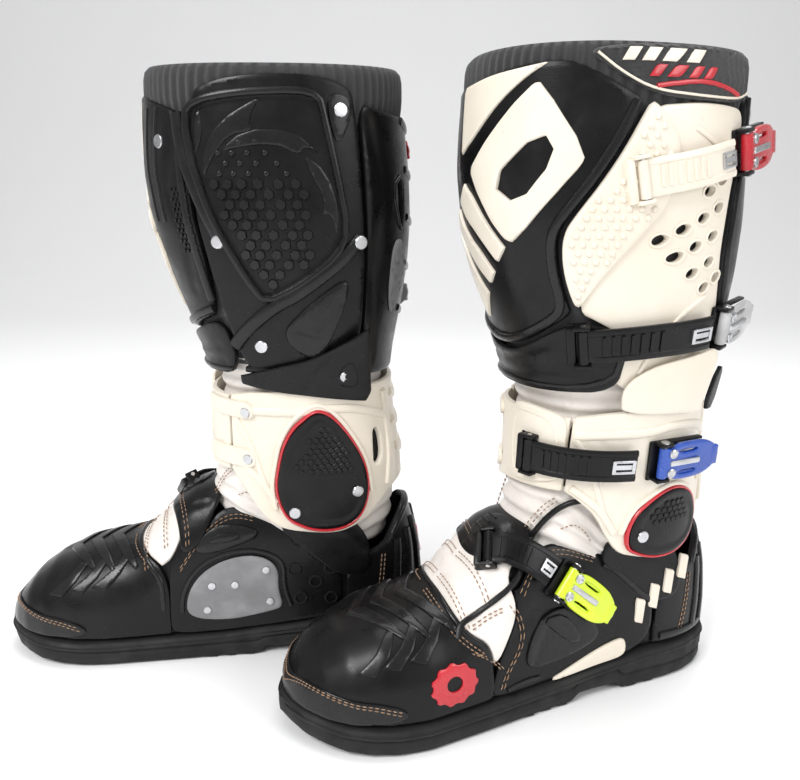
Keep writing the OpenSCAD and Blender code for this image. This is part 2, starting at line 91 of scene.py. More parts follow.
foot_outer = curve([(-30, 38), (20, 40), (60, 43), (100, 49), (140, 54), (165, 52), (185, 45),
                    (200, 35), (210, 24), (216, 14), (219.5, 2)], 4)
foot_inner = curve([(-30, 36), (20, 38), (60, 41), (100, 44), (140, 47), (165, 47), (185, 42),
                    (200, 35), (210, 26), (216, 17), (219.5, 2)], 4)
heel_len = curve([(28, 55), (50, 55), (75, 52), (95, 47), (112, 41)], 6)
heel_half = curve([(28, 37.5), (60, 37.5), (84, 36.5), (112, 34)], 6)
foot_n = curve([(-30, 4.4), (15, 4.2), (45, 3.6), (75, 2.9), (105, 2.5), (220, 2.4)], 8)
sole_outer = curve([(-89, 4), (-86, 15), (-80, 24), (-70, 31), (-56, 36.5), (-40, 39), (-20, 40),
                    (20, 42), (60, 46), (100, 52), (140, 57), (160, 56), (176, 52), (190, 45),
                    (201, 36), (210, 26), (217, 15), (222, 3)], 1.5)
sole_inner = curve([(-89, 4), (-86, 15), (-80, 24), (-70, 31), (-56, 36), (-40, 38), (-20, 38),
                    (20, 39), (60, 42), (100, 46), (140, 49.5), (160, 50), (176, 48), (190, 43),
                    (201, 36), (210, 28), (217, 18), (222, 3)], 1.5)
sole_floor = curve([(-89, 3), (-84, 0), (-4, 0), (0, 5), (30, 5), (36, 0), (150, 0),
                    (190, 2.5), (210, 6), (222, 11)], 1.5)


def arc(v, e):
    return np.sign(v) * np.abs(v) ** e


def spread(*values):
    """The values as float arrays of one shape."""
    return np.broadcast_arrays(*(np.asarray(v, float) for v in values))


def leg(t, z, d):
    """Leg surface: angle t (0 front, 90 outer side), height z, offset d."""
    t, z, d = spread(np.radians(t), z, d)
    f, b, w = leg_front(z), leg_back(z), leg_half(z)
    e = 2 / LEG_N
    return np.stack([(f + b) / 2 + ((f - b) / 2 + d) * arc(np.cos(t), e),
                     (w + d) * arc(np.sin(t), e), z], -1)


def foot(x, p, d):
    """Foot surface: position x, polar angle p (0 outer welt, 90 top, 180 inner welt), offset d."""
    x, p, d = spread(x, p, d)
    w = np.where(p < 90, foot_outer(x), foot_inner(x))
    b, n = foot_welt(x), foot_n(x)
    c, s = np.cos(np.radians(p)), np.maximum(np.sin(np.radians(p)), 0)
    r = (np.abs(c) ** n + s**n) ** (-1 / n)
    return np.stack([x, (w + d) * r * c, b + (foot_top(x) - b + d) * r * s], -1)


def polar(x, p):
    """The polar angle of the foot surface's point with the superellipse angle p."""
    a = np.radians(np.minimum(p, 180 - p))
    q = np.degrees(np.arctan(np.tan(a) ** (2 / foot_n(x))))
    return np.where(np.asarray(p) < 90, q, 180 - q)


def run_foot(x, p, d):
    """Foot surface by the superellipse angle, as the buckle runs use it."""
    return foot(x, polar(np.asarray(x, float), np.asarray(p, float)), d)


def heel(a, z, d):
    """Heel surface: plan angle a (90 outer side, 180 back), height z, offset d."""
    a, z, d = spread(np.radians(a), z, d)
    e = 2 / LEG_N
    return np.stack([-30 + (heel_len(z) + d) * arc(np.cos(a), e),
                     (heel_half(z) + d) * arc(np.sin(a), e), z], -1)


def frame_surf(m, bend=0.0):
    """Surface of a local frame m (columns: along, across, out, origin), curling down by bend."""
    def place(u, v, d):
        u, v, d = spread(u, v, d)
        z = d - bend * np.clip(u, 0, None) ** 2
        return m[:, 3] + u[..., None] * m[:, 0] + v[..., None] * m[:, 1] + z[..., None] * m[:, 2]
    return place


def side_frame(m, out):
    """Local frame on the outer (m = 1) or inner (m = -1) side: x to the toe, y up, z outwards."""
    return np.array([[1, 0, 0, 0], [0, 0, m, m * out], [0, 1, 0, 0]], float)


LEG_STEP = 1.25  # mm round the leg for each degree
METRIC = {leg: (LEG_STEP, 1.0), foot: (1.0, 0.95), heel: (0.9, 1.0)}


def edge_table(rows):
    """Position against polar angle, from rows of (superellipse angle, x)."""
    return curve([(float(polar(x, p)), x) for p, x in rows], 4)


toe_back = edge_table([(0.5, 99), (10, 96), (22, 99), (34, 111), (50, 118), (70, 121), (89, 122),
                       (110, 120), (130, 112), (142, 104), (152, 98), (179.5, 98)])
vamp_back = edge_table([(0.5, 98.2), (9, 95.2), (14, 88), (26, 77), (36, 80), (46, 84), (56, 74), (66, 64),
                        (114, 64), (124, 74), (134, 86), (142, 92), (150, 96), (179.5, 97.2)])


def normal_at(surf, u, v):
    a = surf(u + 0.5, v, 0) - surf(u - 0.5, v, 0)
    b = surf(u, v + 0.5, 0) - surf(u, v - 0.5, 0)
    n = np.cross(a, b)
    n /= np.linalg.norm(n)
    return -n if surf in (foot, run_foot) else n


# ---------------------------------------------------------------- mesh building


class Shape:
    """Vertices (mm, boot frame) and faces with a material index each."""

    def __init__(self):
        self.v, self.f, self.m, self.n = [], [], [], 0

    def add(self, verts, faces, mat=0):
        verts = np.asarray(verts, float).reshape(-1, 3)
        self.v.append(verts)
        self.f += [tuple(int(i) + self.n for i in f) for f in faces]
        self.m += [mat] * len(faces)
        self.n += len(verts)
        return self


def smooth_loop(pts, times=2, keep=()):
    """Closed loop rounded by corner cutting; the corners listed in keep stay sharp."""
    pts = [tuple(p) for p in pts]
    sharp = {pts[i] for i in keep}
    for _ in range(times):
        out = []
        for i, p in enumerate(pts):
            q, r = pts[i - 1], pts[(i + 1) % len(pts)]
            if p in sharp:
                out.append(p)
            else:
                out.append((0.25 * q[0] + 0.75 * p[0], 0.25 * q[1] + 0.75 * p[1]))
                out.append((0.25 * r[0] + 0.75 * p[0], 0.25 * r[1] + 0.75 * p[1]))
        pts = out
    return pts


def resample(loop, step, closed=True):
    """Points a step apart along a line, in the same units; corners are kept closely."""
    p = np.array(loop, float)
    if closed:
        p = np.vstack([p, p[:1]])
    seg = np.linalg.norm(np.diff(p, axis=0), axis=1)
    s = np.r_[0, np.cumsum(seg)]
    n = max(4, int(round(s[-1] / step)))
    t = np.linspace(0, s[-1], n, endpoint=not closed)
    return np.stack([np.interp(t, s, p[:, k]) for k in range(2)], -1)


def inside(pts, loop):
    x, y = pts[:, 0][:, None], pts[:, 1][:, None]
    a, b = loop, np.roll(loop, -1, 0)
    cross = (a[:, 1] > y) != (b[:, 1] > y)
    with np.errstate(divide="ignore", invalid="ignore"):
        at = a[:, 0] + (y - a[:, 1]) * (b[:, 0] - a[:, 0]) / (b[:, 1] - a[:, 1])
    return (np.sum(cross & (x < at), axis=1) % 2) == 1


def edge_distance(pts, loops):
    best = np.full(len(pts), 1e9)
    for loop in loops:
        a, b = loop, np.roll(loop, -1, 0)
        ab = b - a
        l2 = np.maximum((ab**2).sum(1), 1e-12)
        ap = pts[:, None, :] - a[None]
        t = np.clip((ap * ab).sum(2) / l2, 0, 1)
        best = np.minimum(best, np.linalg.norm(ap - t[..., None] * ab, axis=2).min(1))
    return best


def panel(surf, outline, base, thick, step=3.0, edge=1.6, holes=(), relief=None, times=2,
          keep=(), mat=0, shape=None, crown=0.0):
    """A closed plate on a surface, with rounded rims and real holes.

    The plate's back lies at offset base and its face at base + thick. relief(u, v, dist)
    adds height to the face, in mm, and crown swells its middle.
    """
    ku, kv = METRIC.get(surf, (1.0, 1.0))
    k = np.array([ku, kv])
    loops = [resample(np.array(smooth_loop(outline, times, keep)) * k, step)]
    loops += [resample(np.array(smooth_loop(h, 1)) * k, min(step, 1.6)) for h in holes]
    outer = loops[0]
    if np.sum(outer[:, 0] * np.roll(outer[:, 1], -1) - np.roll(outer[:, 0], -1) * outer[:, 1]) < 0:
        loops[0] = outer = outer[::-1]
    lo, hi = outer.min(0), outer.max(0)
    gx, gy = np.meshgrid(np.arange(lo[0], hi[0], step), np.arange(lo[1], hi[1], step * 0.87))
    gx = gx + (np.arange(gx.shape[0]) % 2)[:, None] * step / 2
    grid = np.stack([gx.ravel(), gy.ravel()], -1)
    grid = grid[inside(grid, outer)]
    for h in loops[1:]:
        grid = grid[~inside(grid, h)]
    grid = grid[edge_distance(grid, loops) > max(edge * 1.15, step * 0.55)]
    rings = []
    for n, loop in enumerate(loops):
        t = np.roll(loop, -1, 0) - np.roll(loop, 1, 0)
        t /= np.maximum(np.linalg.norm(t, axis=1), 1e-9)[:, None]
        area = np.sum(loop[:, 0] * np.roll(loop[:, 1], -1) - np.roll(loop[:, 0], -1) * loop[:, 1])
        inward = np.stack([-t[:, 1], t[:, 0]], -1) * (1 if (area > 0) == (n == 0) else -1)
        for dist in (edge * 0.3, edge):
            ring = loop + inward * dist
            ok = edge_distance(ring, loops) > dist * 0.85
            ok &= inside(ring, outer)
            rings.append(ring[ok])
    pts = np.vstack(loops + rings + [grid])
    edges, start = [], 0
    for loop in loops:
        n = len(loop)
        edges += [(start + i, start + (i + 1) % n) for i in range(n)]
        start += n
    got = geometry.delaunay_2d_cdt([Vector(p) for p in pts], edges, [], 0, 1e-4)
    flat = np.array([tuple(p) for p in got[0]])
    tris = np.array([f for f in got[2] if len(f) == 3])
    mid = flat[tris].mean(1)
    ok = inside(mid, outer)
    for h in loops[1:]:
        ok &= ~inside(mid, h)
    tris = tris[ok]
    a, b, c = flat[tris[:, 0]], flat[tris[:, 1]], flat[tris[:, 2]]
    area = (b[:, 0] - a[:, 0]) * (c[:, 1] - a[:, 1]) - (b[:, 1] - a[:, 1]) * (c[:, 0] - a[:, 0])
    tris = tris[np.abs(area) > 1e-7]
    area = area[np.abs(area) > 1e-7]
    tris[area < 0] = tris[area < 0][:, ::-1]
    dist = edge_distance(flat, loops)
    r = np.clip(dist / edge, 0, 1)
    h = thick - min(edge, thick * 0.8) * (1 - np.sqrt(np.maximum(0, 1 - (1 - r) ** 2)))
    u, v = flat[:, 0] / ku, flat[:, 1] / kv
    if crown:
        h = h + crown * np.clip(dist / 14, 0, 1) ** 0.6
    if relief is not None:
        h = h + relief(u, v, dist) * np.clip(dist / max(edge, 1.0), 0, 1)
    top = surf(u, v, base + h)
    bottom = surf(u, v, base + 0 * h)
    n = len(flat)
    if surf is foot:
        tris = tris[:, ::-1]
    faces = [tuple(t) for t in tris] + [(t[2] + n, t[1] + n, t[0] + n) for t in tris]
    count = {}
    for t in tris:
        for i in range(3):
            count[(t[i], t[(i + 1) % 3])] = 1
    for (p, q) in list(count):
        if (q, p) not in count:
            faces.append((q, p, p + n, q + n))
    shape = shape or Shape()
    return shape.add(np.vstack([top, bottom]), faces, mat)


def path_on(surf, pts, d, step=2.0, closed=False, times=2):
    """Positions, tangents and normals along a line on a surface."""
    ku, kv = METRIC.get(surf, (1.0, 1.0))
    k = np.array([ku, kv])
    p = [tuple(q) for q in pts]
    for _ in range(times):
        out = [] if closed else [p[0]]
        for i in range(len(p) if closed else len(p) - 1):
            q, r = p[i], p[(i + 1) % len(p)]
            out += [(0.75 * q[0] + 0.25 * r[0], 0.75 * q[1] + 0.25 * r[1]),
                    (0.25 * q[0] + 0.75 * r[0], 0.25 * q[1] + 0.75 * r[1])]
        p = out if closed else out + [p[-1]]
    q = resample(np.array(p) * k, step, closed) / k
    pos = surf(q[:, 0], q[:, 1], d)
    nor = np.array([normal_at(surf, a, b) for a, b in q])
    if closed:
        tan = np.roll(pos, -1, 0) - np.roll(pos, 1, 0)
    else:
        tan = np.gradient(pos, axis=0)
    tan /= np.maximum(np.linalg.norm(tan, axis=1), 1e-9)[:, None]
    return pos, tan, nor


def sweep(pos, tan, nor, profile, closed=False, mat=0, shape=None, scale=None):
    """A closed profile (across, out) carried along a line."""
    side = np.cross(nor, tan)
    side /= np.maximum(np.linalg.norm(side, axis=1), 1e-9)[:, None]
    prof = np.array(profile, float)
    n, m = len(pos), len(prof)
    s = np.ones(n) if scale is None else scale
    v = (pos[:, None] + side[:, None] * (prof[:, 0][None, :, None] * s[:, None, None])
         + nor[:, None] * (prof[:, 1][None, :, None] * s[:, None, None]))
    faces = []
    for i in range(n if closed else n - 1):
        j = (i + 1) % n
        for k in range(m):
            l = (k + 1) % m
            faces.append((i * m + k, j * m + k, j * m + l, i * m + l))
    if not closed:
        faces += [tuple(range(m)), tuple((n - 1) * m + k for k in range(m - 1, -1, -1))]
    shape = shape or Shape()
    return shape.add(v.reshape(-1, 3), faces, mat)


def band_faces(rows, n, closed=False):
    """Faces between rows of n points each, every row a closed ring."""
    return [(j * n + k, j * n + (k + 1) % n, (j + 1) % rows * n + (k + 1) % n, (j + 1) % rows * n + k)
            for j in range(rows if closed else rows - 1) for k in range(n)]


def strip_faces(rows, n):
    """Faces of a bar whose rows of n points run along it, with both ends closed."""
    sides = [(j * n + k, (j + 1) % rows * n + k, (j + 1) % rows * n + k + 1, j * n + k + 1)
             for j in range(rows) for k in range(n - 1)]
    return sides + [tuple(j * n for j in range(rows - 1, -1, -1)), tuple(j * n + n - 1 for j in range(rows))]


def bead(w, h, low=-0.6):
    """Rounded ridge profile, w wide and h high."""
    return [(w / 2, low), (w / 2, h * 0.35), (w * 0.38, h * 0.8), (w * 0.16, h), (-w * 0.16, h),
            (-w * 0.38, h * 0.8), (-w / 2, h * 0.35), (-w / 2, low)]


def round_bar(r, n=8):
    return [(r * math.cos(2 * math.pi * k / n), r * math.sin(2 * math.pi * k / n)) for k in range(n)]


def ridge(surf, pts, d, w, h, closed=False, mat=0, shape=None, times=2, step=2.0):
    pos, tan, nor = path_on(surf, pts, d, step, closed, times)
    return sweep(pos, tan, nor, bead(w, h), closed, mat, shape)


def tube(surf, pts, d, r, shape, mat=0):
    return sweep(*path_on(surf, pts, d), round_bar(r), False, mat, shape)


STITCH, STITCH_GAP, STITCH_STEP = 2.3, 1.1, 0.5


def stitch(surf, pts, d, shape, r=0.42, mat=0):
    """A row of raised thread stitches along a line."""
    pos, tan, nor = path_on(surf, pts, d, STITCH_STEP)
    per = int(round((STITCH + STITCH_GAP) / STITCH_STEP))
    on = int(round(STITCH / STITCH_STEP))
    for i in range(0, len(pos) - on, per):
        idx = np.arange(i, i + on + 1)
        s = np.linspace(-1, 1, len(idx))
        lift = nor[idx] * ((1 - s**2) * 0.35 - 0.1)[:, None]
        size = np.sqrt(np.maximum(0.12, 1 - s**2))
        sweep(pos[idx] + lift, tan[idx], nor[idx], round_bar(r, 5), False, mat, shape, size)
    return shape


STUD = ((1.0, -0.5, 0.0), (1.0, 0.0, 0.2), (0.75, 0.0, 0.75), (0.4, 0.0, 1.0))
PAD = ((1.0, -0.5, 0.0), (0.98, 0.0, 0.6), (0.84, 0.0, 1.0), (0.4, 0.0, 1.0))


def dome(surf, u, v, d, r, h, shape, ring=8, rows=STUD):
    """A low stud, or with six sides and the rows PAD a hexagonal pad, standing on a surface."""
    n = normal_at(surf, u, v)
    o = surf(u, v, d)
    x = surf(u, v + 0.5, 0) - surf(u, v - 0.5, 0)
    x = x - n * (x @ n)
    x /= np.linalg.norm(x)
    y = np.cross(n, x)
    verts = []
    for rad, low, part in rows:
        for k in range(ring):
            a = 2 * math.pi * k / ring
            verts.append(o + r * rad * (math.cos(a) * x + math.sin(a) * y) + n * (low + part * h))
    faces = band_faces(len(rows), ring)
    faces += [tuple(3 * ring + k for k in range(ring)), tuple(ring - 1 - k for k in range(ring))]
    return shape.add(verts, faces)


def pad_field(surf, outline, pitch, d, h, shape, round_above=1e9):
    """Close-set hexagonal pads inside an outline, turning into round studs above a height."""
    ku, kv = METRIC[surf]
    loop = np.array(outline, float) * [ku, kv]
    (x0, y0), (x1, y1) = loop.min(0), loop.max(0)
    for j, y in enumerate(np.arange(y0, y1, pitch * 0.866)):
        for x in np.arange(x0, x1, pitch) + (pitch / 2 if j % 2 else 0):
            q = np.array([[x, y]])
            if inside(q, loop)[0] and edge_distance(q, [loop])[0] > pitch * 0.35:
                if y / kv < round_above:
                    dome(surf, x / ku, y / kv, d, pitch * 0.53, h, shape, 6, PAD)
                else:
                    dome(surf, x / ku, y / kv, d, pitch * 0.3, h, shape, 10)
    return shape


def lathe(m, rows, shape, n, hollow=False):
    """A turned piece: rows of (radius, out) about the frame m's out axis."""
    verts = []
    for r, z in rows:
        for k in range(n):
            a = 2 * math.pi * k / n
            verts.append(m[:, 3] + m[:, 0] * r * math.cos(a) + m[:, 1] * r * math.sin(a) + m[:, 2] * z)
    faces = band_faces(len(rows), n)
    last = (len(rows) - 1) * n
    if hollow:
        faces += [(last + k, last + (k + 1) % n, (k + 1) % n, k) for k in range(n)]
    else:
        faces += [tuple(last + k for k in range(n)), tuple(n - 1 - k for k in range(n))]
    return shape.add(verts, faces)


def frame_at(surf, u, v, d, toward):
    """Local frame on a surface with its first axis toward another (u, v)."""
    n = normal_at(surf, u, v)
    o = surf(u, v, 0) + n * d
    s = 0.02
    t = surf(u + (toward[0] - u) * s, v + (toward[1] - v) * s, 0) - surf(u, v, 0)
    t = t - n * (t @ n)
    t /= np.linalg.norm(t)
    return np.stack([t, np.cross(n, t), n, o], -1)


def screw(surf, u, v, d, r, shape):
    """A countersunk cap screw with a hexagon socket."""
    m = frame_at(surf, u, v, d, (u + 1, v + 0.3))
    lathe(m, [(r, -1.0), (r, 0.6), (r * 0.9, 1.1), (r * 0.55, 1.2)], shape, 20)
    lathe(m, [(r * 0.5, 1.0), (r * 0.5, 1.28), (r * 0.38, 1.28), (r * 0.38, 0.9)], shape, 6, True)
    return shape


def piece(name, shape, mats, body, slot, *nodes, fill=0.0, auto=35):
    """Makes the piece for both boots: its body and the CAD nodes it stands for. The slot and padding fill
    arguments are not used.
    """
    made = []
    verts = np.vstack(shape.v)
    for side, (px, py, yaw) in PLACES.items():
        mirror = side == "right"
        v = verts * np.array([1, -1 if mirror else 1, 1])
        a = math.radians(180 + yaw)
        rot = np.array([[math.cos(a), -math.sin(a), 0], [math.sin(a), math.cos(a), 0], [0, 0, 1]])
        v = (v @ rot.T + np.array([px, py, 0])) * MM
        mesh = bpy.data.meshes.new(f"{side}_{name}")
        faces = [f[::-1] for f in shape.f] if mirror else shape.f
        mesh.from_pydata(v.tolist(), [], faces)
        mesh.validate()
        bm = bmesh.new()
        bm.from_mesh(mesh)
        bmesh.ops.recalc_face_normals(bm, faces=bm.faces)
        bm.to_mesh(mesh)
        bm.free()
        for m in mats:
            mesh.materials.append(m)
        if len(mesh.polygons) == len(shape.m):
            mesh.polygons.foreach_set("material_index", np.array(shape.m, np.int32))
        mesh.polygons.foreach_set("use_smooth", np.ones(len(mesh.polygons), bool))
        mesh.set_sharp_from_angle(angle=math.radians(auto))
        obj = bpy.data.objects.new(f"{side}_{name}", mesh)
        bpy.context.scene.collection.objects.link(obj)
        if body:
            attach(obj, f"{side}_{body}")
        if nodes:
            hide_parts(*[f"{side}_{n}" for n in nodes])
        made.append(obj)
    return made


# ---------------------------------------------------------------- materials


class Mat:
    """A procedural material: base colour, masked tints, bump layers and varied gloss."""

    def __init__(self, name, color, rough, metal=0.0, coat=0.0, sheen=0.0, specular=0.5):
        self.m = bpy.data.materials.new(name)
        self.m.use_nodes = True
        self.m.diffuse_color = (*color, 1)
        self.t = self.m.node_tree
        self.b = self.t.nodes["Principled BSDF"]
        self.color = color
        self.b.inputs["Base Color"].default_value = (*color, 1)
        self.b.inputs["Roughness"].default_value = rough
        self.b.inputs["Metallic"].default_value = metal
        self.b.inputs["Coat Weight"].default_value = coat
        self.b.inputs["Coat Roughness"].default_value = 0.16
        self.b.inputs["Sheen Weight"].default_value = sheen
        self.b.inputs["Specular IOR Level"].default_value = specular
        self.co = self.t.nodes.new("ShaderNodeTexCoord").outputs["Object"]
        self.col = None
        self.nrm = None

    def node(self, kind, **ins):
        n = self.t.nodes.new(kind)
        for k, v in ins.items():
            n.inputs[k.replace("_", " ")].default_value = v
        return n

    def noise(self, scale, detail=3.0, rough=0.55, distort=0.0):
        n = self.node("ShaderNodeTexNoise", Scale=scale, Detail=detail, Roughness=rough,
                      Distortion=distort)
        self.t.links.new(self.co, n.inputs["Vector"])
        return n.outputs["Fac"]

    def cells(self, scale):
        n = self.node("ShaderNodeTexVoronoi", Scale=scale, Randomness=1.0)
        self.t.links.new(self.co, n.inputs["Vector"])
        return n.outputs["Distance"]

    def waves(self, scale, direction="X", distort=0.0):
        n = self.node("ShaderNodeTexWave", Scale=scale, Distortion=distort, Detail=1.0)
        n.bands_direction = direction
        self.t.links.new(self.co, n.inputs["Vector"])
        return n.outputs["Fac"]

    def ramp(self, fac, lo, hi, a=0.0, b=1.0):
        n = self.node("ShaderNodeMapRange")
        n.inputs["From Min"].default_value = lo
        n.inputs["From Max"].default_value = hi
        n.inputs["To Min"].default_value = a
        n.inputs["To Max"].default_value = b
        self.t.links.new(fac, n.inputs["Value"])
        return n.outputs["Result"]

    def tint(self, fac, color, amount=1.0):
        """Mixes a colour in by a mask."""
        n = self.t.nodes.new("ShaderNodeMix")
        n.data_type = "RGBA"
        if amount != 1.0:
            fac = self.ramp(fac, 0, 1, 0, amount)
        self.t.links.new(fac, n.inputs[0])
        if self.col is None:
            n.inputs[6].default_value = (*self.color, 1)
        else:
            self.t.links.new(self.col, n.inputs[6])
        n.inputs[7].default_value = (*color, 1)
        self.col = n.outputs[2]
        self.t.links.new(self.col, self.b.inputs["Base Color"])
        return self

    def bump(self, height, strength, dist=0.0004):
        n = self.node("ShaderNodeBump", Strength=strength, Distance=dist)
        self.t.links.new(height, n.inputs["Height"])
        if self.nrm is not None:
            self.t.links.new(self.nrm, n.inputs["Normal"])
        self.nrm = n.outputs["Normal"]
        self.t.links.new(self.nrm, self.b.inputs["Normal"])
        return self

    def gloss(self, fac, lo, hi):
        self.t.links.new(self.ramp(fac, 0.3, 0.7, lo, hi), self.b.inputs["Roughness"])
        return self


def light_leather():
    w = Mat("coated_leather_light", (0.81, 0.76, 0.715), 0.5, sheen=0.05)
    w.tint(w.ramp(w.noise(26, 4), 0.45, 0.75), (0.66, 0.61, 0.54), 0.45)
    w.tint(w.ramp(w.noise(140, 5), 0.58, 0.75), (0.5, 0.46, 0.4), 0.3)
    w.bump(w.cells(650), 0.35, 0.0003).bump(w.noise(60, 3), 0.3, 0.0012)
    return w.gloss(w.noise(45, 3), 0.42, 0.62).m


def light_plastic():
    w = Mat("moulded_plastic_light", (0.79, 0.725, 0.62), 0.34, coat=0.15)
    w.tint(w.ramp(w.noise(14, 4), 0.42, 0.75), (0.7, 0.6, 0.46), 0.5)
    w.tint(w.ramp(w.noise(220, 6, 0.7), 0.62, 0.72), (0.42, 0.4, 0.37), 0.3)
    w.bump(w.noise(1500, 2), 0.12, 0.0002).bump(w.noise(24, 3), 0.1, 0.0012)
    return w.gloss(w.noise(60, 4), 0.3, 0.5).m


def dark_plastic(name="moulded_plastic_black", base=(0.0045, 0.0045, 0.005), rough=0.3,
                 coat=0.06):
    w = Mat(name, base, rough, specular=0.22, coat=coat)
    w.tint(w.ramp(w.noise(30, 4), 0.45, 0.7), tuple(min(1, c * 1.9) for c in base), 0.6)
    w.tint(w.ramp(w.noise(260, 6, 0.75), 0.63, 0.74), (0.05, 0.05, 0.052), 0.25)
    w.bump(w.cells(1300), 0.22, 0.0002).bump(w.noise(900, 2), 0.15, 0.0002)
    return w.gloss(w.noise(70, 4), rough - 0.08, rough + 0.14).m


def rubber():
    w = Mat("sole_rubber", (0.010, 0.010, 0.0105), 0.6, specular=0.35)
    w.tint(w.ramp(w.noise(40, 5), 0.5, 0.8), (0.04, 0.038, 0.036), 0.6)
    w.bump(w.noise(500, 4), 0.35, 0.0003)
    return w.gloss(w.noise(90, 3), 0.58, 0.8).m


def weave(name, base, light, scale=620.0, sheen=0.25):
    w = Mat(name, base, 0.85, sheen=sheen)
    a, b = w.waves(scale, "X", 0.6), w.waves(scale, "Z", 0.6)
    mix = w.t.nodes.new("ShaderNodeMath")
    mix.operation = "MULTIPLY"
    w.t.links.new(a, mix.inputs[0])
    w.t.links.new(b, mix.inputs[1])
    w.tint(mix.outputs[0], light, 0.8)
    w.tint(w.ramp(w.noise(30, 4), 0.45, 0.8), tuple(c * 0.6 for c in base), 0.5)
    w.bump(mix.outputs[0], 0.7, 0.0006).bump(w.noise(120, 4), 0.25, 0.0008)
    return w.m


def steel():
    w = Mat("brushed_steel", (0.58, 0.585, 0.6), 0.28, metal=1.0)
    w.tint(w.ramp(w.noise(90, 4), 0.45, 0.75), (0.4, 0.4, 0.41), 0.6)
    w.bump(w.noise(1800, 2), 0.15, 0.0002)
    return w.gloss(w.noise(160, 4), 0.2, 0.42).m


def glossy(name, base, dark):
    w = Mat(name, base, 0.26, coat=0.35)
    w.tint(w.ramp(w.noise(22, 4), 0.4, 0.75), dark, 0.5)
    w.tint(w.ramp(w.noise(320, 6, 0.7), 0.64, 0.74), tuple(min(1, c + 0.25) for c in base), 0.3)
    w.bump(w.noise(1100, 2), 0.12, 0.0002)
    return w.gloss(w.noise(75, 4), 0.2, 0.38).m


def thread():
    w = Mat("brown_thread", (0.30, 0.17, 0.09), 0.8, sheen=0.3)
    w.tint(w.ramp(w.noise(300, 4), 0.4, 0.7), (0.42, 0.27, 0.16), 0.7)
    w.bump(w.waves(1800, "DIAGONAL"), 0.5, 0.0003)
    return w.m


WHITE = light_plastic()
HIDE = light_leather()
BLACK = dark_plastic()
BLACK2 = dark_plastic("moulded_plastic_dark", (0.008, 0.008, 0.0085), 0.24, 0.2)
GREY = dark_plastic("moulded_plastic_grey", (0.19, 0.19, 0.195), 0.45)
PALE = dark_plastic("moulded_plastic_pale", (0.42, 0.42, 0.42), 0.42)
RUBBER = rubber()
LINING = weave("lining_fabric", (0.03, 0.03, 0.033), (0.09, 0.09, 0.095), 900)
ELASTIC = weave("ribbed_elastic", (0.012, 0.012, 0.013), (0.045, 0.045, 0.048), 1100)
BADGE = weave("badge_fabric_dark", (0.014, 0.014, 0.015), (0.06, 0.06, 0.062), 520)
GREYCLOTH = weave("mesh_fabric_grey", (0.16, 0.16, 0.165), (0.34, 0.34, 0.35), 520)
STEEL = steel()
RED = glossy("moulded_red", (0.55, 0.02, 0.03), (0.32, 0.01, 0.02))
BLUE = glossy("moulded_blue", (0.02, 0.08, 0.42), (0.01, 0.03, 0.22))
LIME = glossy("moulded_lime", (0.68, 0.85, 0.03), (0.42, 0.6, 0.02))
BROWN = thread()

# ---------------------------------------------------------------- leg cuff

SHELL_BACK = -2.2

SHIN = [(-58, 373), (-40, 380), (-20, 386), (0, 389), (25, 393), (47, 396), (60, 391), (78, 378),
        (81.5, 374), (73.5, 352), (65, 334), (55, 319), (47.5, 306), (45.5, 286), (48, 266),
        (49, 262), (38, 254), (20, 243.5), (0, 236), (-20, 241), (-40, 248), (-58, 254)]
WING = [(50.5, 267), (53.5, 265), (62, 279), (72, 293), (82, 308), (89, 320), (92, 338), (92, 356),
        (88, 367), (83.5, 376), (81, 370), (74, 350), (66.5, 334), (57.5, 319), (50, 306),
        (48, 287)]
SHELL = [(64, 212.5), (71, 250), (60, 258), (52, 263), (58, 279), (68, 294), (78, 309), (85, 321),
         (88, 338), (88, 357), (83, 372), (96, 375), (112, 375), (130, 373), (126, 352), (120.5, 332),
         (117, 310), (116, 292), (118, 272), (122, 252), (127, 232), (130.5, 212)]
CALF = [(132.5, 384), (150, 380), (175, 374), (205, 375), (225, 378), (232, 380), (232, 300), (232, 210),
        (210, 209), (180, 208), (150, 209), (132.5, 212), (129, 232), (124, 252), (120, 272),
        (118, 292), (119, 310), (122.6, 332), (128.2, 352)]
GUARD = [(-126.5, 211), (-126.5, 300), (-126.5, 384), (-117, 392), (-104, 395), (-86, 395), (-70, 391),
         (-60, 384), (-59.7, 300), (-59.7, 212), (-90, 211)]
LOWER = [(-59, 213), (-30, 212), (0, 211.5), (35, 213), (69.5, 215), (73.5, 235), (77, 250.5),
         (66, 254), (53, 258), (38, 251), (20, 240.5), (0, 233), (-20, 238), (-40, 245), (-59, 250.5)]


def groove(line, width, depth, ku=LEG_STEP, kv=1.0):
    """Relief that cuts a round-bottomed groove along a line of (u, v)."""
    p = np.array(line, float) * [ku, kv]

    def cut(u, v):
        q = np.stack([u * ku, v * kv], -1)
        best = np.full(len(q), 1e9)
        for a, b in zip(p[:-1], p[1:]):
            ab = b - a
            t = np.clip(((q - a) @ ab) / (ab @ ab), 0, 1)
            best = np.minimum(best, np.linalg.norm(q - a - t[:, None] * ab, axis=1))
        return -depth * np.clip(1 - best / width, 0, 1) ** 0.7
    return cut


def foot_groove(line, width, depth):
    return groove(line, width, depth, *METRIC[foot])


def reliefs(*parts):
    return lambda u, v, dist: sum((p(u, v) for p in parts), np.zeros_like(u))


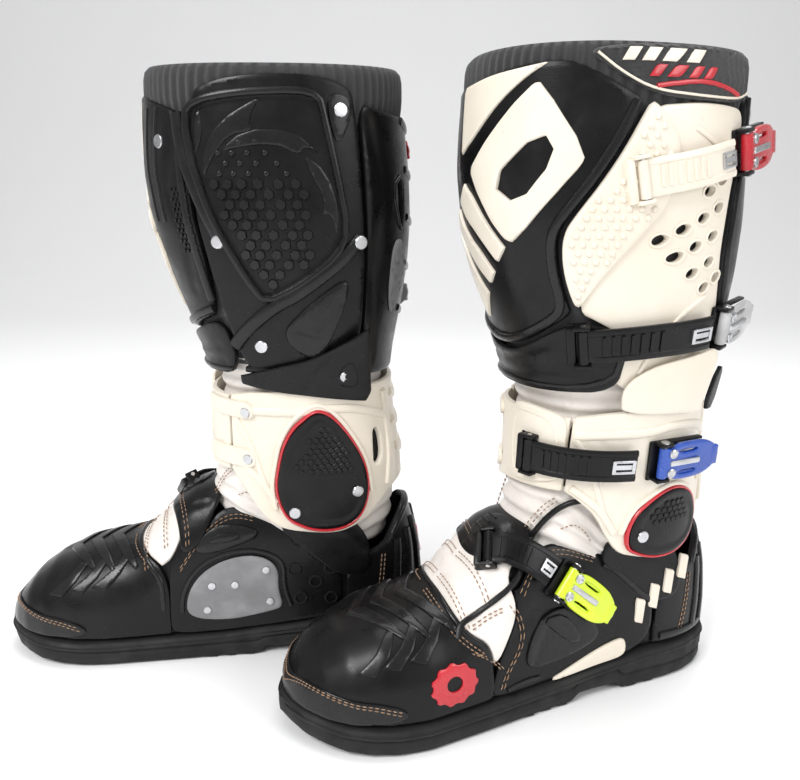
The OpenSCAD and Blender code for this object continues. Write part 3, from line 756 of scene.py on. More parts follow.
# shin shield: flame-like hollows by the edge, a raised border, light corner and raised bars
shin_cuts = [groove([(8, 350), (22, 330), (30, 300), (26, 270)], 5, 0.9),
             groove([(58, 372), (44, 345), (36, 318)], 4, 0.8),
             groove([(-50, 360), (-44, 330), (-50, 300), (-44, 268)], 4, 0.8),
             groove([(-20, 372), (-14, 330), (-20, 290), (-12, 255)], 3, 0.7)]
s = panel(leg, SHIN, SHELL_BACK, 3.4, 3.2, 2.2, relief=reliefs(*shin_cuts))
piece("shin_shield", s, [BLACK], "cuff", "black")
s = Shape()
ridge(leg, [(78, 374.5), (71, 353), (62.5, 335), (53, 320), (45, 307), (43, 287), (45.5, 265.5),
            (37, 257), (20, 247), (0, 240), (-20, 245), (-40, 252), (-54, 257)], 1.0, 5.5, 2.4, shape=s)
ridge(leg, [(-54.5, 262), (-54.5, 320), (-54.5, 368)], 1.0, 5, 2.0, shape=s)
for k in range(2):
    ridge(leg, [(-30 - 10 * k, 378), (-26 - 10 * k, 350), (-30 - 8 * k, 310)], 0.9, 3.6, 1.0,
          shape=s)
piece("shin_border", s, [BLACK2], "cuff", "black")
s = panel(leg, [(-6, 386), (10, 389.5), (30, 392), (43, 394), (34, 388), (20, 376), (8, 363), (-6, 349)],
          0.6, 2.0,
          2.6, 1.2, keep=(0, 3, 7))
panel(leg, [(41, 384), (61, 348), (56, 338), (27, 300), (20, 304), (2, 337), (4, 345), (36, 384)], 0.6, 2.4,
      2.4, 1.0, holes=[[(42, 361), (49, 347), (31, 321), (16, 333)]], times=1, shape=s)
panel(leg, [(-3, 333), (3, 325), (21, 298), (14, 289), (-9, 322)], 0.6, 2.4, 2.4, 0.8, times=0, shape=s)
panel(leg, [(-13, 318), (-8, 309), (10, 283), (4, 275), (-17, 306)], 0.6, 2.4, 2.4, 0.8, times=0, shape=s)
panel(leg, [(-21, 303), (-16, 294), (0, 269), (-8, 252), (-21, 286)], 0.6, 2.4, 2.4, 0.8, times=0, shape=s)
piece("shin_bars", s, [WHITE], "cuff", "cream")
s = Shape()
for j in range(13):
    for i in range(5):
        t, z = -57.5 + 2.6 * i + (1.3 if j % 2 else 0), 330 - 3.1 * j
        if -57 < t < -46:
            dome(leg, t, z, 1.0, 1.2, 0.9, s, ring=6, rows=PAD)
piece("shin_dimples", s, [BLACK2], "cuff", "black")

# light wing with rows of studs
s = panel(leg, WING, 0.2, 3.4, 2.6, 2.0, crown=0.6)
piece("shin_wing", s, [WHITE], "cuff", "cream", "shin_plate")
wing_loop = np.array(smooth_loop(WING, 1)) * [LEG_STEP, 1.0]
s, spots = Shape(), []
for j in range(24):
    for i in range(12):
        t, z = 47 + 4.4 * i + (2.2 if j % 2 else 0), 268 + 4.7 * j
        q = np.array([[t * LEG_STEP, z]])
        if inside(q, wing_loop)[0] and edge_distance(q, [wing_loop])[0] > 3.6:
            spots.append((t, z))
for t, z in spots:
    dome(leg, t, z, 3.9, 1.95, 1.5, s)
piece("wing_studs", s, [WHITE], "cuff", "cream")

# light calf shell with slanted rows of vents
VENTS = [(87, 303), (94.5, 308.5), (103, 314.5), (111, 320), (92, 293.5), (100, 299), (108.5, 304.5),
         (99, 284), (107.5, 290), (106, 275.5), (113, 281), (105.5, 329), (112.5, 335)]


def oval(t, z, a, b, slant=35, n=12):
    c, w = math.cos(math.radians(slant)), math.sin(math.radians(slant))
    return [(t + (a * math.cos(q) * c - b * math.sin(q) * w) / LEG_STEP,
             z + a * math.cos(q) * w + b * math.sin(q) * c)
            for q in (2 * math.pi * k / n for k in range(n))]


s = panel(leg, SHELL, SHELL_BACK, 3.2, 3.0, 1.8, holes=[oval(t, z, 3.7, 2.5) for t, z in VENTS])
piece("calf_shell", s, [WHITE], "cuff", "cream", "outer_shell")
s = Shape()
for t, z in VENTS:
    ridge(leg, oval(t, z, 4.6, 3.4), 1.0, 1.5, 0.7, True, shape=s, times=1, step=1.6)
ridge(leg, [(80.5, 226), (88, 246), (97, 262), (108, 270)], 1.0, 3, 1.2, shape=s)
ridge(leg, [(93, 222), (104, 240), (116, 250)], 1.0, 3, 1.2, shape=s)
ridge(leg, [(98, 362), (110, 352), (116, 340)], 1.0, 3, 1.1, shape=s)
piece("vent_rims", s, [WHITE], "cuff", "cream")

# calf plate: wavy edge, flutes, triangular windows with mesh behind
TRI = [[(203, 340), (214, 331), (206, 300), (202, 318)], [(205, 291), (215, 284), (208, 262), (204, 276)]]
calf_cuts = [groove([(150, 380), (158, 330), (150, 280), (156, 222)], 5, 1.1),
             groove([(180, 382), (180, 222)], 6, 0.9),
             groove([(228, 372), (222, 330), (230, 280), (224, 222)], 5, 1.1)]
s = panel(leg, CALF, SHELL_BACK, 3.4, 3.2, 2.2, holes=TRI, relief=reliefs(*calf_cuts))
piece("calf_guard", s, [BLACK], "cuff", "black", "calf_plate")
s = Shape()
ridge(leg, [(135.5, 380), (131, 352), (126, 332), (122, 310), (121, 292), (123, 272), (127, 252),
            (131.5, 232), (135.5, 216)], 1.1, 4, 1.8, shape=s)
for k in range(5):
    ridge(leg, [(162, 372 - 30 * k), (180, 366 - 30 * k), (198, 372 - 30 * k)], 1.1, 5, 1.4, shape=s)
for tri in TRI:
    ridge(leg, tri, 1.1, 2.2, 1.0, True, shape=s, times=1)
piece("calf_ridges", s, [BLACK2], "cuff", "black")
s = panel(leg, [(199, 346), (219, 346), (219, 256), (199, 256)], -3.6, 1.2, 4, 0.6)
piece("calf_mesh", s, [GREYCLOTH], "cuff", "fabric")

# inner guard: rimmed shield, diagonal band and a folded corner
SHIELD = [(-58.5, 372), (-64, 380), (-80, 384), (-100, 386), (-108.5, 383), (-110.5, 372), (-114, 340),
          (-117.5, 305), (-112, 290), (-98, 275), (-83, 261), (-77, 276), (-70, 302), (-63, 336)]


def guard_relief(u, v, dist):
    t = np.where(u > 180, u - 360, u)
    q = np.stack([t * LEG_STEP, v], -1)
    loop = np.array(SHIELD, float) * [LEG_STEP, 1]
    return -1.3 * np.clip(edge_distance(q, [loop]) / 3, 0, 1) * inside(q, loop)


s = panel(leg, GUARD, SHELL_BACK, 3.6, 2.2, 1.8, relief=guard_relief)
piece("inner_leg_guard", s, [BLACK], "cuff", "black", "inner_guard")
s = Shape()
ridge(leg, SHIELD, 1.2, 4.8, 2.8, True, shape=s, times=1)
ridge(leg, [(-124, 300), (-117, 291), (-100, 273), (-84, 257), (-70, 243), (-61, 233)], 1.2, 9, 3.2, shape=s)
panel(leg, [(-111.5, 386), (-123, 383), (-122.5, 370), (-115.5, 354), (-112.5, 366)], 1.2, 1.8, 2.4, 1.0,
      shape=s)
ridge(leg, [(-122, 216), (-96, 214), (-64, 217)], 1.2, 4, 1.8, shape=s)
piece("guard_frame", s, [BLACK2], "cuff", "black")
# field of hexagonal pads that turn into round studs at the top, ringed by arched flames
FIELD = [(-70, 352), (-84, 362), (-96, 352), (-103, 330), (-106, 300), (-100, 282), (-84, 267), (-78, 280),
         (-72, 304), (-67, 328)]
s = pad_field(leg, FIELD, 6.9, -0.1, 1.5, Shape(), round_above=338)
piece("guard_pads", s, [BLACK2], "cuff", "black")
FLAMES = [[(-65, 334), (-67, 354), (-74, 368), (-89, 382), (-85, 369), (-87, 363), (-78, 361), (-71, 349)],
          [(-73, 351), (-84, 364), (-98, 364), (-108, 350), (-102, 355), (-100, 349), (-92, 356), (-82,
              354)],
          [(-101, 351), (-110, 340), (-115, 318), (-113, 303), (-110, 316), (-107, 314), (-108, 326),
           (-104, 337)],
          [(-61, 346), (-62, 362), (-65, 378), (-67, 364), (-65, 354)]]
s = Shape()
for flame in FLAMES:
    panel(leg, flame, -0.6, 1.5, 2.0, 0.8, times=1, keep=(3,), shape=s)
piece("guard_flames", s, [BLACK2], "cuff", "black")
s = Shape()
ridge(leg, [(-54, 374), (-56, 352), (-62, 326), (-69, 300)], 1.2, 8, 2.0, shape=s)
piece("guard_bar", s, [BLACK2], "cuff", "black")


def skirt(t, z, d):
    """Leg surface that flares towards the rear."""
    return leg(t, z, np.asarray(d, float) + 4.2 * np.clip((np.abs(t) - 88) / 42, 0, 1))


METRIC[skirt] = METRIC[leg]
s = panel(skirt, [(-61, 213), (-61, 207), (-78, 203), (-96, 199), (-127, 193.5), (-131, 200), (-127,
    244), (-112, 234),
                  (-92, 222)], 3.5, 2.0, 2.4, 1.2, keep=(0, 1, 4, 5, 6),
          relief=reliefs(groove([(-93, 199), (-98, 212), (-112, 232)], 3, 1.0)))
panel(skirt, [(-106, 207), (-124, 203), (-117, 227)], 5.0, 1.2, 2.0, 0.8, shape=s)
panel(skirt, [(133, 224), (130, 198), (120, 198), (125, 226)], 3.6, 2.2, 2.4, 1.0, times=1, shape=s)
piece("cuff_skirt_dark", s, [BLACK], "cuff", "black")
s = panel(skirt, [(72, 219), (73, 204), (84, 200), (117, 198), (123, 226), (119, 240), (104, 236), (88,
    232)], 3.5, 1.6,
          2.4, 1.2, keep=(1, 3))
piece("cuff_skirt_light", s, [WHITE], "cuff", "cream")


def quilt(u, v):
    a = np.abs(np.sin(np.radians(u * 26 + v * 22)))
    b = np.abs(np.sin(np.radians(u * 26 - v * 22)))
    return -1.3 * np.clip(1 - np.minimum(a, b) * 2.6, 0, 1)


s = panel(leg, [(-88, 246), (-99, 262), (-118, 279), (-115, 256), (-104, 226), (-96, 224), (-89, 233)],
          1.0, 2.6,
          2.2, 1.6, crown=1.2, relief=reliefs(groove([(-93, 244), (-102, 240), (-112, 262)], 3, 1.0)))
piece("guard_corner", s, [BLACK2], "cuff", "black")
s = panel(leg, [(206, 300), (214, 296), (216, 270), (210, 246), (202, 262), (200, 284)], 0.6, 2.4, 2.2, 1.4,
          relief=reliefs(quilt), crown=1.2)
piece("inner_pad", s, [GREYCLOTH], "cuff", "fabric", fill=0.8)

# lower shin plate with crease lines
low_cuts = [groove([(-50, 222), (0, 219), (60, 224)], 2.5, 0.8), groove([(-50, 232), (-10, 227), (45, 238)],
            2.5, 0.8), groove([(20, 232), (50, 247), (68, 247)], 2.5, 0.8)]
s = panel(leg, LOWER, -1.0, 3.8, 2.8, 1.8, relief=reliefs(*low_cuts))
piece("lower_shin", s, [BLACK], "cuff", "black", "lower_shin_plate")
s = Shape()
ridge(leg, [(-55, 216.5), (0, 215), (66, 218.5), (72, 240)], 2.6, 3, 1.3, shape=s)
piece("lower_shin_rib", s, [BLACK2], "cuff", "black")

# cap screws
s = Shape()
for t, z, d in ((-117.5, 375, 3.2), (-123, 298, 4.2), (-68, 299, 2.6), (-76, 233, 1.4), (-115, 214, 7.6),
                (-41, 358, 1.2), (140, 372, 1.2), (140, 222, 1.2)):
    screw(leg, t, z, d, 4.2, s)
piece("cuff_cap_screws", s, [STEEL], "cuff", "steel", "cuff_screws")


def ring_mesh(rows, step, ribs=0, rib=0.0):
    """A closed band round the leg; rows of (height, outer offset, inner offset)."""
    n = 360 // step
    t = np.arange(n) * step
    wave = rib * np.cos(np.radians(t * ribs)) if ribs else np.zeros(n)
    dip = 3.0 * np.clip(-np.sin(np.radians(t)), 0, 1)
    outer = [leg(t, z - dip * (z > 380), o + wave * (1 if 0 < i < len(rows) - 1 else 0))
             for i, (z, o, _) in enumerate(rows)]
    inner = [leg(t, z - dip * (z > 380), i) for z, _, i in rows[::-1]]
    loops = outer + inner
    return Shape().add(np.vstack(loops), band_faces(len(loops), n, True))


# padded lining and the ribbed elastic collar above the shells
s = ring_mesh([(152, -16.5, -19.5), (170, -15.5, -18.5), (190, -12.5, -16), (214, -7, -11), (250, -4.4,
    -9.5),
               (300, -4.4, -9.5), (350, -4.4, -9.5), (386, -4.4, -9.5), (397, -4.6, -9.2),
               (402, -5.4, -8.2)], 4)
piece("inner_boot", s, [LINING], "cuff", "fabric", "bootie", fill=0.8)
s = ring_mesh([(368, -3.4, -4.3), (374, -2.6, -4.3), (380, -1.6, -4.3), (386, -1.0, -4.3),
               (392, -0.8, -4.3), (397, -0.8, -4.3), (401.5, -1.6, -4.3), (404, -3.0, -5.0)], 1, 72, 0.85)
piece("elastic_gaiter", s, [ELASTIC], "cuff", "fabric", fill=0.7, auto=60)
s = panel(leg, [(57, 399), (70, 402), (95, 403), (118, 403), (130, 400), (131, 380), (120, 376), (100, 376),
                (84, 378), (66, 392)], -1.8, 3.0, 2.4, 1.6, crown=1.0,
          relief=lambda u, v, d: 0.35 * np.sign(np.sin(np.radians(u * 90))) * np.sign(
              np.sin(np.radians(v * 100))))
piece("gaiter_pad", s, [BADGE], "cuff", "fabric", fill=0.9)
s = Shape()
tube(leg, [(62, 398), (72, 388), (84, 380), (100, 378), (120, 378), (130, 382)], 1.6, 0.7, s, 1)
ridge(leg, [(84, 382), (98, 386), (112, 383), (120, 380)], 1.4, 2.6, 1.2, shape=s)
for k in range(4):
    panel(leg, [(71 + 7 * k, 394), (75.5 + 7 * k, 394), (78 + 7 * k, 400.5), (73.5 + 7 * k, 400.5)], 1.5,
          1.3,
          1.8, 0.5, times=0, mat=1, shape=s)
    panel(leg, [(81 + 6 * k, 386.5), (84.5 + 6 * k, 386.5), (87 + 6 * k, 392.5), (83.5 + 6 * k, 392.5)],
          1.5, 1.3,
          1.8, 0.5, times=0, shape=s)
piece("gaiter_trim", s, [RED, WHITE], "cuff", "red")

# ---------------------------------------------------------------- ankle brace

BRACE = [(46, 149), (57, 143), (68, 134), (77, 119), (87, 104), (109, 97), (120, 101), (128, 106),
         (138, 115), (145, 121.5), (161, 127), (180, 127), (199, 127), (215, 121.5), (222, 115),
         (232, 106), (240, 101), (251, 97), (270, 99.5), (281, 106), (291, 119), (302, 133),
         (314, 144), (314, 197.5), (282, 203), (180, 203), (78, 203), (46, 197.5)]
SLOTS = [[(133, 146), (139, 145), (142, 156), (141, 170), (136, 171), (134, 158)],
         [(221, 146), (227, 145), (226, 158), (224, 171), (219, 170), (218, 156)]]
brace_cuts = [groove([(60, 192), (84, 150), (76, 124)], 3, 0.8),
              groove([(300, 192), (276, 150), (284, 124)], 3, 0.8),
              groove([(150, 194), (166, 160), (158, 132)], 5, 1.0),
              groove([(210, 194), (194, 160), (202, 132)], 5, 1.0)]
s = panel(leg, BRACE, -0.5, 3.2, 3.2, 2.0, holes=SLOTS, relief=reliefs(*brace_cuts), keep=(0, 22, 23, 27))
piece("brace_shell", s, [WHITE], "ankle", "cream", "ankle_brace")
s = Shape()
for m in (1, -1):
    def at(pts, m=m):
        return [(t if m > 0 else 360 - t, z) for t, z in pts]
    ridge(leg, at([(49, 186), (66, 188), (92, 187), (100, 190), (124, 188), (150, 178)]), 2.6, 6, 1.6,
          shape=s)
    ridge(leg, at([(150, 196), (152, 176), (150, 150), (146, 128)]), 2.6, 6, 2.2, shape=s)
    ridge(leg, at([(50, 152), (60, 146), (71, 137), (80, 122)]), 2.6, 5, 1.8, shape=s)
    ridge(leg, at([(50, 184), (60, 168), (66, 150), (72, 136)]), 2.6, 4, 1.4, shape=s)
for k in range(3):
    ridge(leg, [(162, 192 - 20 * k), (180, 186 - 20 * k), (198, 192 - 20 * k)], 2.6, 6, 1.8, shape=s)
piece("brace_bands", s, [WHITE], "ankle", "cream")
s = panel(leg, [(129, 176), (146, 176), (147, 140), (129, 140)], -2.2, 1.2, 4, 0.6)
panel(leg, [(214, 176), (231, 176), (231, 140), (213, 140)], -2.2, 1.2, 4, 0.6, shape=s)
piece("brace_slot_backing", s, [BLACK], "ankle", "black")

FRONT = [(-44.5, 142.5), (-25, 143), (0, 148), (25, 149), (44.5, 149), (44.5, 197), (20, 197),
         (0, 197), (-20, 197), (-44.5, 197)]
front_cuts = [groove([(-38, 188), (-30, 170), (-36, 150)], 3, 0.8),
              groove([(-24, 192), (-14, 170), (-22, 146)], 3, 0.8),
              groove([(4, 192), (8, 186), (40, 186)], 2.5, 0.7),
              groove([(4, 147), (10, 156), (40, 156)], 2.5, 0.7)]
s = panel(leg, FRONT, -0.5, 3.2, 2.8, 1.8, relief=reliefs(*front_cuts), keep=(0, 4, 5, 9))
piece("closure_plate", s, [WHITE], "ankle", "cream", "front_plate")
s = Shape()
for z0, z1 in ((183, 194), (148, 160)):
    panel(leg, [(-66, z0 - 2), (-52, z0 - 1), (-30, z0), (-16, z0 + 2), (-16, z1), (-30, z1 + 1),
                (-52, z1), (-66, z1 - 1)], 2.6, 2.2, 2.6, 1.2, shape=s)
piece("closure_fingers", s, [WHITE], "ankle", "cream")
s = panel(leg, [(-2, 153), (-3, 176), (0, 200), (14, 203), (40, 199), (44, 192), (44, 160), (38, 155),
                (14, 151)], 2.5,
          2.0, 2.4, 1.2, crown=0.3)
ridge(leg, [(3, 158), (3, 196), (14, 198.5), (38, 194.5), (39, 162), (14, 156)], 4.4, 2.4, 0.9, True,
      shape=s)
piece("closure_tab", s, [WHITE], "ankle", "cream")
s = Shape()
screw(leg, -60, 187, 4.6, 3.6, s)
screw(leg, -60, 153, 4.6, 3.6, s)
piece("closure_screws", s, [STEEL], "ankle", "steel")

# pivot covers: dark drop on the brace with a red rim, a field of hexagonal pads and cap screws
DROPS = {
    "outer": [(97, 103.5), (89, 109), (86.5, 121), (88.5, 133), (94, 142), (104, 148), (115, 145.5),
              (125, 137), (129, 122), (126, 109), (116, 102.5), (106, 101.5)],
    "inner": [(260, 102), (270, 107), (277, 120), (281, 138), (279, 158), (272, 176), (263, 188.5),
              (254, 184), (244, 168), (236, 147), (233.5, 128), (238, 111), (247, 103)],
}
DROP_SCREWS = {"outer": [(92, 118.5)], "inner": [(271, 116), (240.5, 129)]}
DROP_NODES = {"outer": ("pivot_covers",), "inner": ()}

for label, drop in DROPS.items():
    mid = np.mean(drop, 0)
    low_z = min(z for _, z in drop)
    s = panel(leg, drop, 2.9, 3.2, 1.8, 1.5, relief=lambda u, v, dist: -0.7 * np.clip((dist - 4) / 1.5,
        0, 1))
    inner = [(mid[0] + (t - mid[0]) * 0.72, mid[1] + (z - mid[1]) * 0.78) for t, z in drop]
    split = low_z + 0.45 * (max(z for _, z in drop) - low_z)
    pad_field(leg, [(t, max(z, split)) for t, z in inner], 4.4, 5.3, 0.8, s)
    piece(f"{label}_pivot_cover", s, [BLACK], "ankle", "black", *DROP_NODES[label])
    s = Shape()
    rim_line = [(mid[0] + (t - mid[0]) * 1.03, mid[1] + (z - mid[1]) * 1.03) for t, z in drop]
    ridge(leg, rim_line, 3.2, 2.4, 2.4, True, shape=s)
    piece(f"{label}_cover_rim", s, [RED], "ankle", "red")
    s = Shape()
    lip = [(mid[0] + (t - mid[0]) * 1.14, mid[1] + (z - mid[1]) * 1.12) for t, z in drop]
    ridge(leg, [q for q in lip if q[1] > low_z + 6], 2.3, 3.4, 2.6, shape=s)
    piece(f"{label}_cover_lip", s, [WHITE], "ankle", "cream")
    s = Shape()
    for t, z in DROP_SCREWS[label]:
        screw(leg, t, z, 6.2, 4.0, s)
    piece(f"{label}_cover_screws", s, [STEEL], "ankle", "steel")

# ---------------------------------------------------------------- bellows


def bellows(low, high, folds, amp, depth, tuck=0.0, step=4, lines=6):
    """A pleated tube; low and high give its ends against the angle, tuck draws its foot inwards."""
    t = np.arange(0, 360, step, dtype=float)
    n = len(t)
    rows = folds * lines
    loops = []
    for face, shift in ((0, 0.0), (1, -1.6)):
        for j in (range(rows + 1) if face == 0 else range(rows, -1, -1)):
            s = j / rows
            z = low(t) * (1 - s) + high(t) * s
            w = amp * np.sin(2 * math.pi * folds * s) * math.sin(math.pi * min(1, max(0, s))) ** 0.3
            loops.append(leg(t, z, depth(t) + w + shift - tuck * max(0, 1 - s / 0.45) ** 1.5))
    return Shape().add(np.vstack(loops), band_faces(len(loops), n, True))


def joint_point(side, name):
    return Vector(JOINTS[f"{side}_{name}"]["pos_m"])


def turned(t):
    """Angle from the front, 0 to 180, on either side."""
    return np.abs((t + 180) % 360 - 180)


def ankle_low(t):
    return 80 + 30 * np.clip(np.cos(np.radians(t)), 0, 1) ** 0.8


def ankle_high(t):
    return np.interp(turned(t), [0, 46, 70, 90, 110, 126, 145, 180], [150, 150, 132, 110, 107, 114, 131,
        138])


def ankle_depth(t):
    return np.interp(turned(t), [0, 50, 76, 108, 135, 180], [-4.4, -5.0, -11.5, -11.5, -6.5, -5.5])


s = bellows(ankle_low, ankle_high, 4, 1.3, ankle_depth, 6.0)
CORD = [(27, 103), (30, 112), (34, 122), (41, 133), (50, 140), (58, 142)]
tube(leg, CORD, -2.6, 1.9, s, 1)
for m in (1, -1):
    for off in (5, 8):
        stitch(leg, [(m * (t - off), z + 0.5 * off) for t, z in CORD[:5]], -3.0, s, mat=2)
    stitch(leg, [(m * t, z) for t, z in ((50, 122), (58, 126), (66, 121), (72, 113))], -5.0, s, mat=2)
lower_b = piece("ankle_bellows", s, [HIDE, BLACK, BROWN], None, "leather", fill=0.6, auto=60)
s = bellows(lambda t: 188 + 0 * t, lambda t: 222 + 0 * t, 3, 1.2, lambda t: -6.0)
upper_b = piece("cuff_bellows", s, [HIDE], None, "leather", fill=0.6, auto=60)
for objs, low_body, high_body, z0, z1, joint in ((lower_b, "foot", "ankle", 0.088, 0.146, "ankle_flex"),
                                                 (upper_b, "ankle", "cuff", 0.190, 0.220, "cuff_flex")):
    for o, side in zip(objs, PLACES):
        p = joint_point(side, joint)
        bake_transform(o)

# ---------------------------------------------------------------- foot


def foot_z(x, z, m=1):
    """The foot angle p that gives height z at x, on the outer (1) or inner (-1) side."""
    b, h, n = foot_welt(x), foot_top(x) - foot_welt(x), foot_n(x)
    s = np.clip((np.asarray(z) - b) / h, 0, 1)
    p = np.degrees(np.arctan2(s, (1 - s**n) ** (1 / n)))
    return p if m > 0 else 180 - p


def on_side(pts, m=1):
    """(x, z) points turned into (x, p) points on one side of the foot."""
    return [(x, float(foot_z(x, z, m))) for x, z in pts]


SOLE_X = np.concatenate([np.arange(-89, -60, 2.0), np.arange(-60, 196, 2.5), np.arange(196, 222.5, 1.6)])


def sole_half(edge, m):
    """Rows of the sole's section on one side, from the tread up to the insole."""
    low, top = sole_floor(SOLE_X), foot_welt(SOLE_X)
    section = [(edge - 4, low), (edge - 1.4, low + 1.2), (edge - 0.2, low + 5), (edge - 0.4, low + 9),
               (edge - 1.4, low + 10.2), (edge - 1.2, low + 11.4), (edge + 0.3, low + 12.6),
               (edge + 0.6, top - 4.2), (edge - 0.4, top - 2.6), (edge - 2.6, top - 1.6), (edge - 6,
                   top - 0.9)]
    return [np.stack([SOLE_X, m * np.maximum(y, 0.4), z], -1) for y, z in section]


ring_v = sole_half(sole_outer(SOLE_X), 1) + sole_half(sole_inner(SOLE_X), -1)[::-1]
s = Shape().add(np.vstack(ring_v), strip_faces(len(ring_v), len(SOLE_X)))
piece("rubber_sole", s, [RUBBER], "foot", "rubber", "outsole", auto=40)
s = Shape()
for m in (1, -1):
    half = sole_outer if m > 0 else sole_inner
    for x in (44, 57, 70, -12, -26):
        y, z = m * (float(half(x)) - 2.2), float(sole_floor(x))
        f = np.array([[1, 0, 0, x], [0, 0, m, y], [0, 1, 0, z + 3.6]], float)
        panel(frame_surf(f), [(-4.5, -3.2), (4.5, -3.2), (3.8, 1.4), (-4.8, 1.4)], -1, 2.0, 2.4, 0.6,
              times=0, shape=s)
piece("sole_side_lugs", s, [RUBBER], "foot", "rubber")
s = Shape()
xs = np.linspace(-84, 219, 130)
line = [(x, float(sole_outer(x)) + 0.1) for x in xs] + [(x, -0.1 - float(sole_inner(x))) for x in xs[::-1]]
line = resample(np.array(line), 3.0)
pos = np.stack([line[:, 0], line[:, 1], foot_welt(line[:, 0]) - 6.0], -1)
tan = np.roll(pos, -1, 0) - np.roll(pos, 1, 0)
tan /= np.linalg.norm(tan, axis=1)[:, None]
sweep(pos, tan, np.tile(np.array([0, 0, 1.0]), (len(pos), 1)), round_bar(1.2, 8), True, shape=s)
piece("sole_welt_bead", s, [RUBBER], "foot", "rubber")

# vamp: light leather between the toe cap and the side panels, with folds, piping and double seams
def edge_line(table, angles, shift):
    return [(float(table(p)) + shift, p) for p in angles]


VAMP = (edge_line(toe_back, (17, 26, 36, 47, 58, 72, 90, 108, 121, 133, 143), -0.7)
        + edge_line(vamp_back, (143, 134, 126, 118), 0.5) + [(60, 112), (60, 90), (60, 68)]
        + edge_line(vamp_back, (62, 55, 47, 41, 35, 29, 23, 17), 0.5))


def folds(u, v):
    swell = np.sin((u + 0.12 * (v - 90)) * 0.42)
    return 1.0 * swell * np.clip((v - 34) / 20, 0, 1) * np.clip((146 - v) / 20, 0, 1) - 0.2


s = panel(foot, VAMP, -2.6, 2.8, 2.6, 1.4, keep=(0, 10), relief=reliefs(folds), crown=0.5)
piece("vamp_leather", s, [HIDE], "foot", "leather", "vamp")
for m, label in ((1, "outer"), (-1, "inner")):
    def q(pts, m=m):
        return [(x, p if m > 0 else 180 - p) for x, p in pts]
    s = Shape()
    for off in (0, 2.2):
        stitch(foot, q([(113 - off, 40), (115 - off, 52), (116.5 - off, 70), (117 - off, 88)]), 1.0, s)
        stitch(foot, q([(99 - off, 44), (101 - off, 58), (103 - off, 74), (104 - off, 88)]), 1.2, s)
    if m > 0:
        for off in (0, 2.2):
            stitch(foot, on_side([(111 - off, 55), (95 - off, 45), (90 - off, 38)]), 0.7, s)
            stitch(foot, on_side([(109, 70 - off), (98, 76 - off), (88, 79 - off)]), 0.9, s)
    piece(f"{label}_vamp_seams", s, [BROWN], "foot", "leather")
s = Shape()
tube(foot, on_side([(119, 64), (116, 71), (104, 77), (88, 86), (77, 94), (71, 104), (65, 112), (60,
    116)]), 0.5, 1.9, s)
piece("vamp_piping", s, [BLACK], "foot", "black")

s = panel(foot, [(84, 3), (112, 3), (124, 30), (124, 90), (124, 150), (112, 177), (84, 177), (70, 150),
                 (62, 90),
                 (70, 30)], -5.4, 2.2, 4, 1.0, times=1)
piece("vamp_backing", s, [BLACK], "foot", "black")

# toe cap with bold arrow-shaped hollows, a rolled rear edge and a stitched bumper
TOE = (edge_line(toe_back, (1, 8), -2.2) + edge_line(toe_back, (16, 25, 36, 47, 58, 74, 90, 106, 122,
    134, 145), 0.5)
       + edge_line(toe_back, (156, 168, 179), -2.0) + [(120, 179), (160, 179), (200, 179), (212, 178),
                                                       (218.4, 178), (219, 90), (218.4, 2), (212, 2),
          (200, 1), (160, 1), (120, 1)])
s = panel(foot, TOE, -2.6, 3.4, 2.6, 1.6, keep=(0, 15, 20, 22))
piece("toe_cap", s, [BLACK], "foot", "black", "toe_cap")
s = Shape()
for x, wide in ((141, 1.0), (157, 0.95), (172, 0.85)):
    arrow = [(5, 0), (-1, 14), (-9, 30), (-20, 46), (-23, 45), (-16, 29), (-9, 13), (-4, 0)]
    arrow += [(a, -b) for a, b in arrow[-2:0:-1]]
    panel(foot, [(x + a, 90 + b * wide) for a, b in arrow], 0.2, 1.9, 1.9, 0.9, times=0, shape=s)
for x in (137, 153, 168):
    for m in (1, -1):
        tick = [(14, 40), (2, 31), (-8, 18), (-13, 20), (-6, 34), (4, 44)]
        panel(foot, [(x + a, 90 + m * (b + 12)) for a, b in tick], 0.2, 1.6, 1.9, 0.9, times=0, shape=s)
ridge(foot, [(99, 20), (103, 28), (112, 37), (118.5, 50), (121.5, 66), (122.5, 90), (121, 110),
             (114.5, 130), (107, 143), (101, 152), (100.5, 166)], 0.6, 3.4, 1.1, shape=s)
piece("toe_ribs", s, [BLACK2], "foot", "black")
BUMPER = [(152, 6), (158, 13), (170, 17), (184, 20), (197, 27), (207, 40), (213, 62), (214, 90), (213, 118),
          (207, 140), (197, 153), (184, 160), (170, 163), (158, 167), (152, 174)]
s = panel(foot, BUMPER + [(178, 178), (205, 178), (217, 174), (219.2, 90), (217, 6), (205, 2), (178, 2)],
          0.7, 1.7, 2.4, 1.1, times=2)
piece("toe_guard", s, [BLACK2], "foot", "black")
s = Shape()
for off in (2.6, 5.0):
    line = []
    for x, p in BUMPER[1:-1]:
        k = (p - 90) / 90
        line.append((x + off * (1 - abs(k)), p + off * k))
    stitch(foot, line, 2.5, s, r=0.36)
stitch(foot, edge_line(toe_back, (24, 34, 47, 58, 70, 84), 4.2), 0.9, s)
stitch(foot, edge_line(toe_back, (24, 34, 47, 58, 70, 84), 6.4), 0.9, s)
stitch(foot, edge_line(toe_back, (96, 110, 121, 133, 143), 4.2), 0.9, s)
piece("toe_stitching", s, [BROWN], "foot", "leather")
